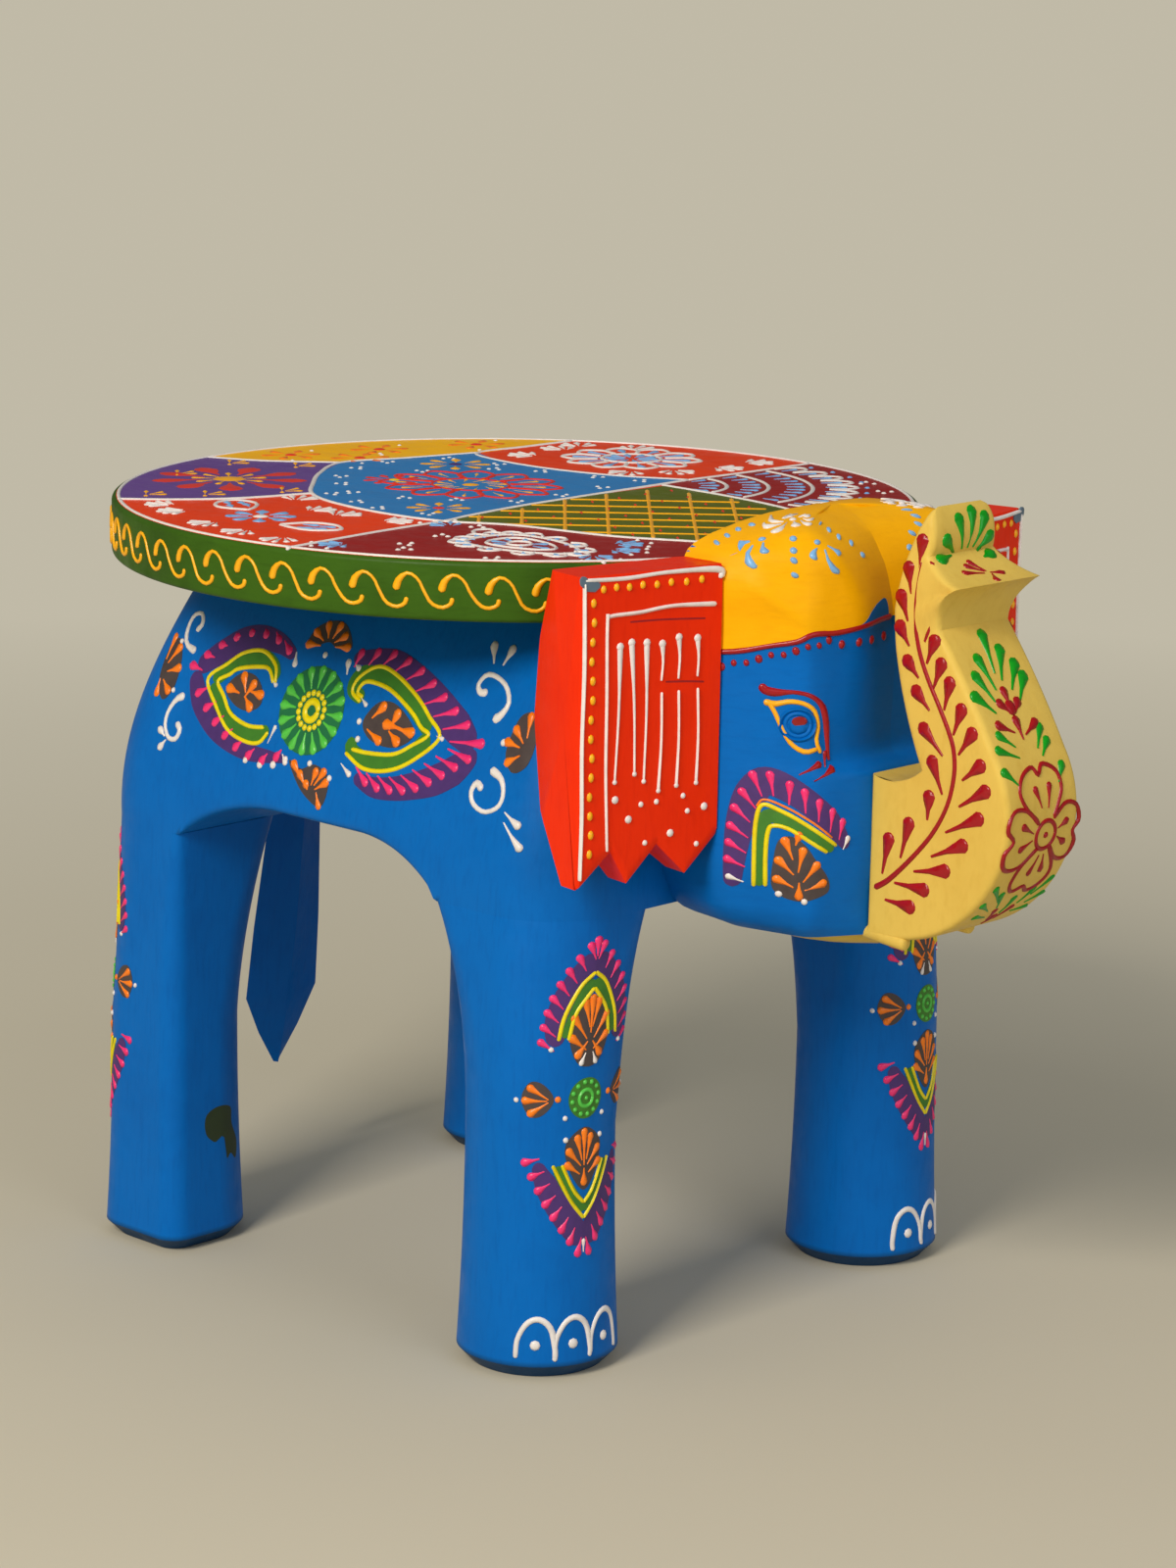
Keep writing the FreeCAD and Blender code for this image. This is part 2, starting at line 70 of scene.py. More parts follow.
BODY_LOW = (-118.0, 131.0, 111.5, 30.0)    # rear, front, half width, corner at the legs
BODY_TOP = (-92.0, 121.0, 78.0, 20.0)      # and under the seat
BELLY_REAR, BELLY_FRONT, BELLY_RISE = -66.0, 72.0, 17.0
BELLY_REAR_SHOULDER, BELLY_FRONT_SHOULDER = 50.0, 41.0
BELLY_ROUND = 3.0              # rounding along the belly's edge

HEAD_HALF = 60.0
HEAD_BACK = 126.0
HEAD_ROUND = 5.0               # rounding of its upright corners
CROWN_X, CROWN_RISE = 157.0, 1.2
TRUNK_HALF, TRUNK_TIP_HALF = 19.7, 16.5
TRUNK_SHOULDER, TRUNK_TOP = 272.0, 314.6
TRUNK_EDGE = 2.4
TIP_ROUND, TIP_INSET = 7.0, 6.0            # height of the rounded tip, and how far it draws in
SHELF_FLARE = 0.26             # the lip under the tip is this much wider
SHELF_HEIGHT, SHELF_SPREAD = 288.0, 6.5
MUZZLE_X, MUZZLE_TOP = 195.0, 219.0

EAR_CORNER = np.array([149.0, -118.0])
EAR_SLANT = math.radians(10.6)
EAR_WIDTH = (118.0 - HEAD_HALF) / math.cos(EAR_SLANT)
EAR_TOP, EAR_BOTTOM = SEAT_TOP + 1.4, 184.5
EAR_ROUND, EAR_CHAMFER = 1.6, 0.9          # of its outer edge, and of its top and bottom edges
EAR_ZIGZAG = [(0.0, 0.0), (14.0, 12.0), (21.0, 0.0), (33.6, 12.4), (46.0, 0.6), (EAR_WIDTH, 13.0)]
EAR_BACK = [(184.5, 11.5), (208.0, 24.5), (240.0, 29.0), (268.0, 26.5), (293.0, 19.5)]


# ---- arrays and meshes
def metres(points):
    """Millimetres round the seat's middle to metres in the frame."""
    return np.asarray(points, float) * MM + SEAT_OFFSET


def blend(low, high, share):
    return low + (high - low) * share


def arc(a, b, c, count):
    """Points along the circle through three flat points: its middle is where
    their perpendicular bisectors meet, and the angle runs evenly from a to c."""
    a, b, c = (np.array(p, float) for p in (a, b, c))
    centre = np.linalg.solve(2 * np.array([b - a, c - a]), [b @ b - a @ a, c @ c - a @ a])
    start, middle, end = (math.atan2(*(p - centre)[::-1]) for p in (a, b, c))
    turn = (end - start) % math.tau
    if (middle - start) % math.tau > turn:
        turn -= math.tau
    angle = start + turn * np.linspace(0, 1, count)
    return centre + np.linalg.norm(a - centre) * np.stack([np.cos(angle), np.sin(angle)], 1)


def smooth_path(path, count):
    """A Catmull-Rom curve through the points: each span is the cubic whose
    ends' slopes are half the step between the neighbouring points."""
    p = np.array(path, float)
    p = np.concatenate([[2 * p[0] - p[1]], p, [2 * p[-1] - p[-2]]])
    place = np.linspace(0, len(p) - 3, count)
    span = np.minimum(place.astype(int), len(p) - 4)
    t = (place - span)[:, None]
    a, b, c, d = (p[span + k] for k in range(4))
    return 0.5 * (2 * b + (c - a) * t + (2 * a - 5 * b + 4 * c - d) * t ** 2
                  + (3 * b - a - 3 * c + d) * t ** 3)


def grid_quads(rows, columns, wrap):
    """Corner numbers of the cells of a grid of points stored row by row."""
    r = np.arange(rows - 1)[:, None]
    c = np.arange(columns if wrap else columns - 1)[None, :]
    n = (c + 1) % columns
    cells = np.stack(np.broadcast_arrays(
        r * columns + c, r * columns + n, (r + 1) * columns + n, (r + 1) * columns + c), -1)
    return cells.reshape(-1, 4)


def volume(points, quads, triangles):
    """Six times the volume inside: the sum of the corner triple products."""
    a = np.concatenate([quads[:, [0, 1, 2]], quads[:, [0, 2, 3]], triangles])
    p, q, r = points[a[:, 0]], points[a[:, 1]], points[a[:, 2]]
    return float((np.cross(p, q) * r).sum())


def tube(rings):
    """A closed shape from rings of points (ring, around, xyz): cells between
    the rings, and a fan from each end ring to its middle."""
    rows, columns = rings.shape[:2]
    points = np.concatenate([rings.reshape(-1, 3), [rings[0].mean(0)], [rings[-1].mean(0)]])
    quads = grid_quads(rows, columns, True)
    c = np.arange(columns)
    n = (c + 1) % columns
    first, last = rows * columns, (rows - 1) * columns
    triangles = np.concatenate([
        np.stack([np.full(columns, first), n, c], 1),
        np.stack([np.full(columns, first + 1), last + c, last + n], 1)])
    centred = points - points.mean(0)
    if volume(centred, quads, triangles) < 0:
        quads, triangles = quads[:, ::-1], triangles[:, ::-1]
    return points, quads, triangles


def mirrored(shape):
    """The same shape on the elephant's left side."""
    points, quads, triangles = shape
    return points * [1, -1, 1], quads[:, ::-1], triangles[:, ::-1]


def joined(shapes):
    """Several shapes as one set of points, quads and triangles."""
    starts = np.cumsum([0] + [len(s[0]) for s in shapes[:-1]])
    return (np.concatenate([s[0] for s in shapes]),
            np.concatenate([s[1] + n for s, n in zip(shapes, starts)]),
            np.concatenate([s[2] + n for s, n in zip(shapes, starts)]))


def piece(name, shape, material, replaces=(), sharp=180.0, weld=False):
    """Puts a shape into a mesh that rides on the elephant."""
    points, quads, triangles = shape
    mesh = bpy.data.meshes.new(name)
    corners = np.concatenate([quads.ravel(), triangles.ravel()]).astype(np.int32)
    sizes = np.concatenate([np.full(len(quads), 4), np.full(len(triangles), 3)])
    mesh.vertices.add(len(points))
    mesh.vertices.foreach_set("co", metres(points).astype(np.float32).ravel())
    mesh.loops.add(len(corners))
    mesh.loops.foreach_set("vertex_index", corners)
    mesh.polygons.add(len(sizes))
    mesh.polygons.foreach_set("loop_start", (np.cumsum(sizes) - sizes).astype(np.int32))
    mesh.polygons.foreach_set("use_smooth", np.ones(len(sizes), bool))
    mesh.update(calc_edges=True)
    mesh.validate()
    if weld:
        edited = bmesh.new()
        edited.from_mesh(mesh)
        bmesh.ops.remove_doubles(edited, verts=edited.verts, dist=0.01 * MM)
        bmesh.ops.recalc_face_normals(edited, faces=edited.faces)
        edited.to_mesh(mesh)
        edited.free()
    mesh.set_sharp_from_angle(angle=math.radians(sharp))
    mesh.materials.append(material)
    thing = bpy.data.objects.new(name, mesh)
    bpy.context.scene.collection.objects.link(thing)
    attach(thing, "root")
    if replaces:
        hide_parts(*replaces)


# ---- materials
def linear(code):
    """An sRGB hex colour as linear RGBA: each channel c becomes c / 12.92
    below 0.04045, and ((c + 0.055) / 1.055) to the power 2.4 above it."""
    channels = [int(code[k:k + 2], 16) / 255 for k in (1, 3, 5)]
    return [c / 12.92 if c <= 0.04045 else ((c + 0.055) / 1.055) ** 2.4 for c in channels] + [1.0]


def add(tree, kind, settings=(), links=()):
    """One node, its own settings and input values, and its incoming links."""
    node = tree.nodes.new(kind)
    for key, value in dict(settings).items():
        if hasattr(node, str(key)):
            setattr(node, key, value)
        else:
            node.inputs[key].default_value = value
    for key, source in dict(links).items():
        tree.links.new(source, node.inputs[key])
    return node


def new_material(name):
    material = bpy.data.materials.new(name)
    material.use_nodes = True
    tree = material.node_tree
    tree.nodes.clear()
    shader = add(tree, "ShaderNodeBsdfPrincipled")
    add(tree, "ShaderNodeOutputMaterial", links={"Surface": shader.outputs["BSDF"]})
    return material, tree, shader


def brushed_paint(name, colour, worn, streak=(1, 1, 6), gloss=0.42, blotch=0.35, shade=None):
    """Gouache-like acrylic brushed on sanded wood and varnished.

    To the eye: a strong flat colour that is thinner and a little darker in
    places, fine streaks that follow the brush, low lumps where the wood's
    grain lifts the coat, and a soft varnish shine that breaks up on them.
    shade is an optional (hex, height in mm) of painted shade: below that
    height the coat darkens towards that colour, where the feet meet the floor.
    """
    material, tree, shader = new_material(name)
    place = add(tree, "ShaderNodeTexCoord").outputs["Object"]
    hair = 1.6 * MM               # width of one brush streak, as coarse as shows
    thin = add(tree, "ShaderNodeTexNoise", {"Scale": 1 / (38 * MM), "Detail": 5.0, "Roughness": 0.62},
               {"Vector": place})
    along = add(tree, "ShaderNodeMapping", {"Scale": [1 / s for s in streak]}, {"Vector": place})
    streaks = add(tree, "ShaderNodeTexNoise", {"Scale": 1 / hair, "Detail": 3.0, "Roughness": 0.55},
                  {"Vector": along.outputs["Vector"]})
    lumps = add(tree, "ShaderNodeTexNoise", {"Scale": 1 / (7 * MM), "Detail": 4.0}, {"Vector": place})
    worn_share = add(tree, "ShaderNodeMapRange",
                     {"From Min": 0.45, "From Max": 0.72, "To Min": 0.0, "To Max": blotch},
                     {"Value": thin.outputs["Fac"]})
    coat = add(tree, "ShaderNodeMix", {"data_type": "RGBA", 6: linear(colour), 7: linear(worn)},
               {0: worn_share.outputs["Result"]})
    streak_share = add(tree, "ShaderNodeMapRange",
                       {"From Min": 0.5, "From Max": 0.75, "To Min": 0.0, "To Max": 0.3},
                       {"Value": streaks.outputs["Fac"]})
    coat = add(tree, "ShaderNodeMix", {"data_type": "RGBA", 7: linear(worn)},
               {0: streak_share.outputs["Result"], 6: coat.outputs[2]})
    if shade:
        # painted shade: below the given height the coat is mixed towards the dark shade colour
        height = add(tree, "ShaderNodeSeparateXYZ", links={"Vector": place})
        floor_shade = add(tree, "ShaderNodeMapRange",
                   {"From Min": shade[1] * MM * 0.75, "From Max": shade[1] * MM * 1.15,
                    "To Min": 0.85, "To Max": 0.0}, {"Value": height.outputs["Z"]})
        coat = add(tree, "ShaderNodeMix", {"data_type": "RGBA", 7: linear(shade[0])},
                   {0: floor_shade.outputs["Result"], 6: coat.outputs[2]})
    rough = add(tree, "ShaderNodeMapRange",
                {"From Min": 0.3, "From Max": 0.7, "To Min": gloss - 0.07, "To Max": gloss + 0.12},
                {"Value": lumps.outputs["Fac"]})
    low = add(tree, "ShaderNodeBump", {"Strength": 0.35, "Distance": 0.5 * MM},
              {"Height": lumps.outputs["Fac"]})
    fine = add(tree, "ShaderNodeBump", {"Strength": 0.4, "Distance": 0.18 * MM},
               {"Height": streaks.outputs["Fac"], "Normal": low.outputs["Normal"]})
    shader.inputs["IOR"].default_value = 1.5
    shader.inputs["Specular IOR Level"].default_value = 0.12
    tree.links.new(coat.outputs[2], shader.inputs["Base Color"])
    tree.links.new(rough.outputs["Result"], shader.inputs["Roughness"])
    tree.links.new(fine.outputs["Normal"], shader.inputs["Normal"])
    return material


def relief(name, colour, thin, gloss=0.32):
    """Thick relief paint squeezed on from a cone, drop by drop.

    To the eye: an even colour that goes slightly deeper where the paint is
    thin, and a wetter shine than the ground it stands on.
    """
    material, tree, shader = new_material(f"{name}_relief_paint")
    place = add(tree, "ShaderNodeTexCoord").outputs["Object"]
    body = add(tree, "ShaderNodeTexNoise", {"Scale": 1 / (4 * MM), "Detail": 3.0}, {"Vector": place})
    share = add(tree, "ShaderNodeMapRange",
                {"From Min": 0.42, "From Max": 0.75, "To Min": 0.0, "To Max": 0.45},
                {"Value": body.outputs["Fac"]})
    mix = add(tree, "ShaderNodeMix", {"data_type": "RGBA", 6: linear(colour), 7: linear(thin)},
              {0: share.outputs["Result"]})
    bump = add(tree, "ShaderNodeBump", {"Strength": 0.25, "Distance": 0.25 * MM},
               {"Height": body.outputs["Fac"]})
    shader.inputs["Roughness"].default_value = gloss
    shader.inputs["IOR"].default_value = 1.5
    tree.links.new(mix.outputs[2], shader.inputs["Base Color"])
    tree.links.new(bump.outputs["Normal"], shader.inputs["Normal"])
    return material


def bare_wood(name):
    """Planed softwood of the hidden dowels and plugs: pale, with darker
    growth lines about 9 mm apart."""
    material, tree, shader = new_material(name)
    place = add(tree, "ShaderNodeTexCoord").outputs["Object"]
    grain = add(tree, "ShaderNodeTexWave", {"wave_type": "RINGS", "Scale": 1 / (30 * MM), "Distortion": 3.0,
                                            "Detail": 3.0}, {"Vector": place})
    mix = add(tree, "ShaderNodeMix", {"data_type": "RGBA", 6: linear("#C9A26B"), 7: linear("#A87B45")},
              {0: grain.outputs["Fac"]})
    bump = add(tree, "ShaderNodeBump", {"Strength": 0.3, "Distance": 0.1 * MM},
               {"Height": grain.outputs["Fac"]})
    shader.inputs["Roughness"].default_value = 0.7
    tree.links.new(mix.outputs[2], shader.inputs["Base Color"])
    tree.links.new(bump.outputs["Normal"], shader.inputs["Normal"])
    return material


def zinc_plate(name):
    """Zinc-plated steel of the hidden screws: a grey, slightly dull metal."""
    material, tree, shader = new_material(name)
    place = add(tree, "ShaderNodeTexCoord").outputs["Object"]
    bloom = add(tree, "ShaderNodeTexNoise", {"Scale": 1 / (2 * MM)}, {"Vector": place})
    rough = add(tree, "ShaderNodeMapRange", {"To Min": 0.3, "To Max": 0.5}, {"Value": bloom.outputs["Fac"]})
    shader.inputs["Base Color"].default_value = linear("#B4B6B8")
    shader.inputs["Metallic"].default_value = 1.0
    tree.links.new(rough.outputs["Result"], shader.inputs["Roughness"])
    return material


GROUND = {
    # painted shade near the floor: the blue darkens to a near-black blue in the lowest 6 mm of the feet
    "blue": brushed_paint("blue_acrylic_brushed_on_wood", "#0068BE", "#0052A2", (1, 1, 7),
                          shade=("#0B2E45", 6.0)),
    "face_blue": brushed_paint("face_blue_acrylic", "#0068BE", "#0058A8", (5, 5, 1)),
    "face_yellow": brushed_paint("forehead_yellow_acrylic", "#FAB400", "#E89E00", (5, 5, 1), 0.4),
    "cream": brushed_paint("cream_acrylic_on_trunk", "#E2C05A", "#CDA541", (2, 2, 5), 0.4),
    "red": brushed_paint("red_acrylic_on_ears", "#F23004", "#DC1E00", (1, 1, 7), 0.38),
    "green": brushed_paint("green_acrylic_on_seat_edge", "#3A6014", "#2A480E", (6, 6, 1), 0.4, 0.6),
}
HIDDEN = {"bare_wood": bare_wood("planed_softwood"), "screw_steel": zinc_plate("zinc_plated_steel")}


# ---- body
def body_limits(z):
    """Rear, front, half width and corner radius at a height.  The sides lean
    in towards the seat along a quarter of a cosine."""
    share = np.clip((z - JOINT) / (SEAT_UNDER - JOINT), 0, 1)
    lean = 1 - np.cos(share * math.pi / 2)
    shares = (lean, lean, lean, share)
    return [blend(low, top, s) for low, top, s in zip(BODY_LOW, BODY_TOP, shares)]


def belly_line():
    """The belly arch as seen from the side: two arcs and a level crown."""
    crown, haunch = JOINT + BELLY_RISE, JOINT + 0.7 * BELLY_RISE
    rear = arc((BELLY_REAR, JOINT), (BELLY_REAR + 0.45 * BELLY_REAR_SHOULDER, haunch),
               (BELLY_REAR + BELLY_REAR_SHOULDER, crown), 24)
    front = arc((BELLY_FRONT - BELLY_FRONT_SHOULDER, crown),
                (BELLY_FRONT - 0.45 * BELLY_FRONT_SHOULDER, haunch), (BELLY_FRONT, JOINT), 24)
    return np.concatenate([rear, front])


def body_block():
    """The body's wall, a grid whose columns keep their place as the sides lean
    in, and flat sheets that close it below and under the seat.

    Each column of the outline is x = a rear + b front + c corner and
    y = -d half + e corner, with shares a to e that are the same at every
    height.
    """
    ends, corners, sides = 8, 14, 96
    edge = np.linspace(0, 1, ends + 1)[:-1]
    turn = np.linspace(0, math.pi / 2, corners + 1)[:-1]
    run = np.linspace(0, 1, sides + 1)
    zero, one = np.zeros_like, np.ones_like
    a = np.concatenate([one(edge), one(turn), 1 - run, zero(turn), zero(edge), [0]])
    b = 1 - a
    c = np.concatenate([zero(edge), 1 - np.cos(turn), 1 - 2 * run, -1 + np.cos(turn[::-1] + turn[1]),
                        zero(edge), [0]])
    d = np.concatenate([edge, one(turn), one(run), one(turn), 1 - edge, [0]])
    e = np.concatenate([edge, 1 - np.sin(turn), zero(run), 1 - np.sin(turn[::-1] + turn[1]), 1 - edge, [0]])
    line = belly_line()

    def outline(z):
        rear, front, half, corner = body_limits(z)
        return a * rear + b * front + c * corner, -d * half + e * corner

    foot_x, foot_y = outline(np.full(len(a), JOINT))
    low = np.interp(foot_x, line[:, 0], line[:, 1], left=JOINT, right=JOINT)
    low = np.where(foot_y < -BODY_LOW[2] + 0.01, low, JOINT)
    soft = BELLY_ROUND * np.clip((low - JOINT) / 4, 0, 1)     # no rounding where a leg joins
    bend = np.linspace(math.pi / 2, 0, 5)[:, None]
    rise = np.linspace(0, 1, 41)[1:, None]
    height = np.concatenate([low + soft * (1 - np.sin(bend)), blend(low + soft, SEAT_UNDER, rise)])
    inset = np.concatenate([soft * (1 - np.cos(bend)), 0 * rise * soft])
    x, y = outline(height)
    y = y + inset
    right = np.stack([x, y, height], -1)
    left = right[:, ::-1][:, 1:-1] * [1, -1, 1]
    wall = np.concatenate([right, left], 1)
    shapes = [(wall.reshape(-1, 3), grid_quads(len(wall), wall.shape[1], True), np.zeros((0, 3), int))]
    across = np.linspace(1, -1, 2 * ends + 1)[None, :, None]
    for row in (right[0], right[-1]):
        ribs = row[ends:-ends]
        sheet = ribs[:, None] * np.concatenate([[1], [0], [1]])
        sheet = sheet + ribs[:, None] * [0, 1, 0] * across
        shapes.append((sheet.reshape(-1, 3), grid_quads(*sheet.shape[:2], False), np.zeros((0, 3), int)))
    return joined(shapes)


# ---- legs
# x: middle, half: half width, end and inner: the body's end and the belly's
# foot beside it, round and edge: corner radii towards each as a share of the
# half width, swell: the power by which a leg widens inside
FRONT_LEG = {"x": 105.2, "half": 26.6, "end": BODY_LOW[1], "inner": BELLY_FRONT, "edge": 0.98,
             "round": 0.98, "swell": 3.0}
REAR_LEG = {"x": -91.8, "half": 22.6, "end": BODY_LOW[0], "inner": BELLY_REAR, "edge": 0.36,
            "round": 0.7, "swell": 1.8}
LEG_DRIFT = 9.0                # the rays' middle moves inward this far up to the body
HIDDEN_ROUND = 0.98            # corner radius of a leg on its inner side


def leg_surface(leg, angle, z):
    """A right leg: where a level ray from its middle meets a rounded square.

    Along a flat side the ray's length is the reach over its cosine.  At a
    corner it is b + sqrt(b b - q q + r r), with q the corner circle's middle
    and b its length along the ray.  The reaches flare to the foot along a
    parabola and swell to the body along a parabola outside and the leg's own
    power inside.  The middle drifts inward with the power 1.5 of the height.
    """
    forward = 1 if leg["end"] > leg["inner"] else -1
    share = np.clip((z - NARROW) / (JOINT - NARROW), 0, 1)
    flare = FOOT_FLARE * np.clip((NARROW - z) / NARROW, 0, 1) ** 2
    chamfer = np.clip(FOOT_CHAMFER - z, 0, None)
    half = leg["half"] + flare - chamfer
    reach_end = blend(half, abs(leg["end"] - leg["x"]), share ** 2)
    reach_in = blend(half, abs(leg["x"] - leg["inner"]), share ** leg["swell"])
    side_out = blend(half, BODY_LOW[2] - LEG_SPREAD, share ** 2)
    side_in = blend(half, LEG_TOP_INSIDE, share ** leg["swell"])
    plain = leg["round"] * half
    corner_end = blend(plain, BODY_LOW[3], share)
    corner_belly = blend(leg["edge"] * half, 3.0, share ** 2)
    corner_hidden = blend(HIDDEN_ROUND * half, 14.0, share)
    c, s = np.cos(angle), np.sin(angle)
    at_end = c * forward > 0
    outside = s < 0
    reach = np.where(at_end, reach_end, reach_in)
    side = np.where(outside, side_out, side_in)
    radius = np.where(outside, np.where(at_end, corner_end, corner_belly), corner_hidden)
    drift = LEG_DRIFT * share ** 1.5
    reach = reach + np.where(at_end, drift, -drift)
    side = side + np.where(outside, drift, -drift)
    radius = np.minimum(radius, HIDDEN_ROUND * np.minimum(reach, side))
    c, s = np.abs(c) + 1e-9, np.abs(s) + 1e-9
    flat = np.minimum(reach / c, side / s)
    qx, qy = reach - radius, side - radius
    along = c * qx + s * qy
    rounded = along + np.sqrt(np.maximum(along ** 2 - qx ** 2 - qy ** 2 + radius ** 2, 0))
    length = np.where((flat * c > qx) & (flat * s > qy), rounded, flat)
    return np.stack(np.broadcast_arrays(leg["x"] - forward * drift + length * np.cos(angle),
                                        -LEG_SPREAD + drift + length * np.sin(angle), z), -1)


def leg_shape(leg):
    """Level rings from the floor to the body, closer at the foot's chamfer."""
    heights = np.concatenate([[0, FOOT_CHAMFER * 0.5, FOOT_CHAMFER],
                              np.linspace(FOOT_CHAMFER, NARROW, 22)[1:],
                              np.linspace(NARROW, JOINT, 34)[1:]])
    angle = np.linspace(0, math.tau, 145)[:-1]
    return tube(leg_surface(leg, angle[None, :], heights[:, None]))


# ---- head
def rounded_corners(outline, radius, steps):
    """Each corner of the closed outlines (level, corner, xy) becomes a short
    parabola that starts and ends at most a radius from the corner."""
    before = np.roll(outline, 1, 1) - outline
    after = np.roll(outline, -1, 1) - outline
    t = np.linspace(0, 1, steps)[None, None, :, None]

    def reach(way):
        length = np.linalg.norm(way, axis=-1, keepdims=True)
        return way * np.minimum(radius / np.maximum(length, 1e-6), 0.45)

    start, end = outline + reach(before), outline + reach(after)
    start, end, middle = start[:, :, None], end[:, :, None], outline[:, :, None]
    curve = (1 - t) ** 2 * start + 2 * t * (1 - t) * middle + t ** 2 * end
    return curve.reshape(len(outline), -1, 2)


def facet(level, reach):
    """The front corner becomes two points, each a reach away from it, with a
    flat facet between them."""
    height, points = level
    before, corner, after = (np.array(point, float) for point in points[2:5])
    back = corner + (before - corner) / np.linalg.norm(before - corner) * reach
    front = corner + (after - corner) / np.linalg.norm(after - corner) * reach
    return height, points[:3] + [tuple(back), tuple(front)] + points[4:]


def head_levels():
    """Level outlines of the right half of the head, from the chin upwards:
    (height, points from the middle of the back round to the middle of the
    face), each with a facet across its front corner."""
    back, wide, face, nose = HEAD_BACK, HEAD_HALF, 188.0, MUZZLE_X
    low, top, neck = 161.0, 306.0, MUZZLE_TOP
    levels = [
        (low, [(back + 16, 0), (back + 16, 20 - wide), (155, 16 - wide), (184, 22 - wide),
            (nose, -18), (nose, 0)]),
        (low + 4, [(back + 5, 0), (back + 5, 12 - wide), (156, 8 - wide), (187, 19.5 - wide),
            (nose, -20), (nose, 0)]),
        (low + 11, [(back, 0), (back, 8 - wide), (157, 3 - wide), (189, 18 - wide), (nose, -20),
            (nose, 0)]),
        (low + 29, [(back, 0), (back, 1 - wide), (160, -wide), (190, 17 - wide), (nose + 1, -21),
            (nose + 1, 0)]),
        (neck, [(back, 0), (back, -wide), (159, -wide), (188, 18 - wide), (nose, -21), (nose, 0)]),
        (neck + 5, [(back, 0), (back, -wide), (159, -wide), (186.5, 18 - wide), (face + 1, -22),
            (face, 0)]),
        (neck + 9, [(back, 0), (back, -wide), (159, -wide), (186, 18 - wide), (face, -22), (face - 1, 0)]),
        (neck + 39, [(back, 0), (back, -wide), (158, -wide), (184, 19 - wide), (face + 1, -20), (face, 0)]),
        (SEAT_UNDER - 0.2, [(back, 0), (back, -wide), (157, -wide), (184, 17.2 - wide),
            (face + 2, -20), (face - 2, 0)]),
        (top - 34, [(back, 0), (back, -wide), (157, -wide), (184, 17 - wide), (face + 2, -20),
            (face - 2, 0)]),
        (top - 20, [(back, 0), (back, -wide), (157, -wide), (181, 10 - wide), (face, -25), (face - 5, 0)]),
        (top - 11, [(back, 0), (back, 2 - wide), (152, 2 - wide), (176, 9 - wide),
            (face - 2, -31), (face - 10, 0)]),
        (top - 5, [(back, 0), (back, 12 - wide), (152, 12 - wide), (173, 14 - wide),
            (face - 7, -34), (face - 15, -2)]),
        (top - 2, [(back, -2), (back, -36), (152, -38), (169, -40), (face - 12, -34), (face - 21, -5)]),
        (top, [(back, -4), (back, -24), (152, -26), (160, -27), (166, -21), (160, -8)]),
    ]
    spread = [2.4] * 10 + [10.5, 8.5, 5.5, 4.0, 3.0]       # narrow on the face, wide on the domes
    return [facet(level, reach) for level, reach in zip(levels, spread)]


def head_grid():
    """The head as a grid (level, around, xyz).

    The corner outlines are rounded, then each point moves from level to level
    along a cubic whose slope at a level is the harmonic mean of the slopes
    beside it, or zero at a turning point, so nothing overshoots.  Above the
    seat's underside the back follows the seat's rim.
    """
    levels = head_levels()
    z = np.array([height for height, points in levels])
    right = np.array([points for height, points in levels], float)
    outline = np.concatenate([right, right[:, ::-1] * [1, -1]], 1)
    net = rounded_corners(outline, HEAD_ROUND, 7)
    rise = np.diff(z)[:, None, None]
    slope = np.diff(net, axis=0) / rise
    product = slope[1:] * slope[:-1]
    inner = np.where(product > 0, 2 * product / (slope[1:] + slope[:-1] + 1e-12), 0)
    inner = np.where(product > 0, inner, 0)
    tangent = np.concatenate([slope[:1], inner, slope[-1:]])
    rows, heights = [], []
    for k in range(len(z) - 1):
        steps = max(2, int(math.ceil((z[k + 1] - z[k]) / 1.6)))
        t = (np.arange(steps) / steps)[:, None, None]
        h = z[k + 1] - z[k]
        rows.append((2 * t ** 3 - 3 * t ** 2 + 1) * net[k] + (t ** 3 - 2 * t ** 2 + t) * h * tangent[k]
                    + (3 * t ** 2 - 2 * t ** 3) * net[k + 1] + (t ** 3 - t ** 2) * h * tangent[k + 1])
        heights.append(z[k] + h * t[:, 0, 0])
    middle = np.array([CROWN_X, 0.0])
    crown = np.array([1.0, 0.7, 0.4, 0.15])[:, None, None]
    rows.append(middle + (net[-1] - middle) * crown)
    heights.append(z[-1] + CROWN_RISE * (1 - crown[:, 0, 0] ** 2))
    flat = np.concatenate(rows)
    height = np.concatenate(heights)
    shelf = int(np.searchsorted(height, SEAT_UNDER - 0.1))
    flat = np.insert(flat, shelf, flat[shelf], 0)
    height = np.insert(height, shelf, SEAT_UNDER - 0.2)
    rim = SEAT_RADIUS + RIM_GAP
    behind = np.sqrt(np.maximum(rim ** 2 - flat[..., 1] ** 2, 0))
    above = (np.arange(len(height)) > shelf)[:, None]
    flat[..., 0] = np.where(above, np.maximum(flat[..., 0], behind), flat[..., 0])
    return np.concatenate([flat, np.broadcast_to(height[:, None, None], flat.shape[:2] + (1,))], -1)


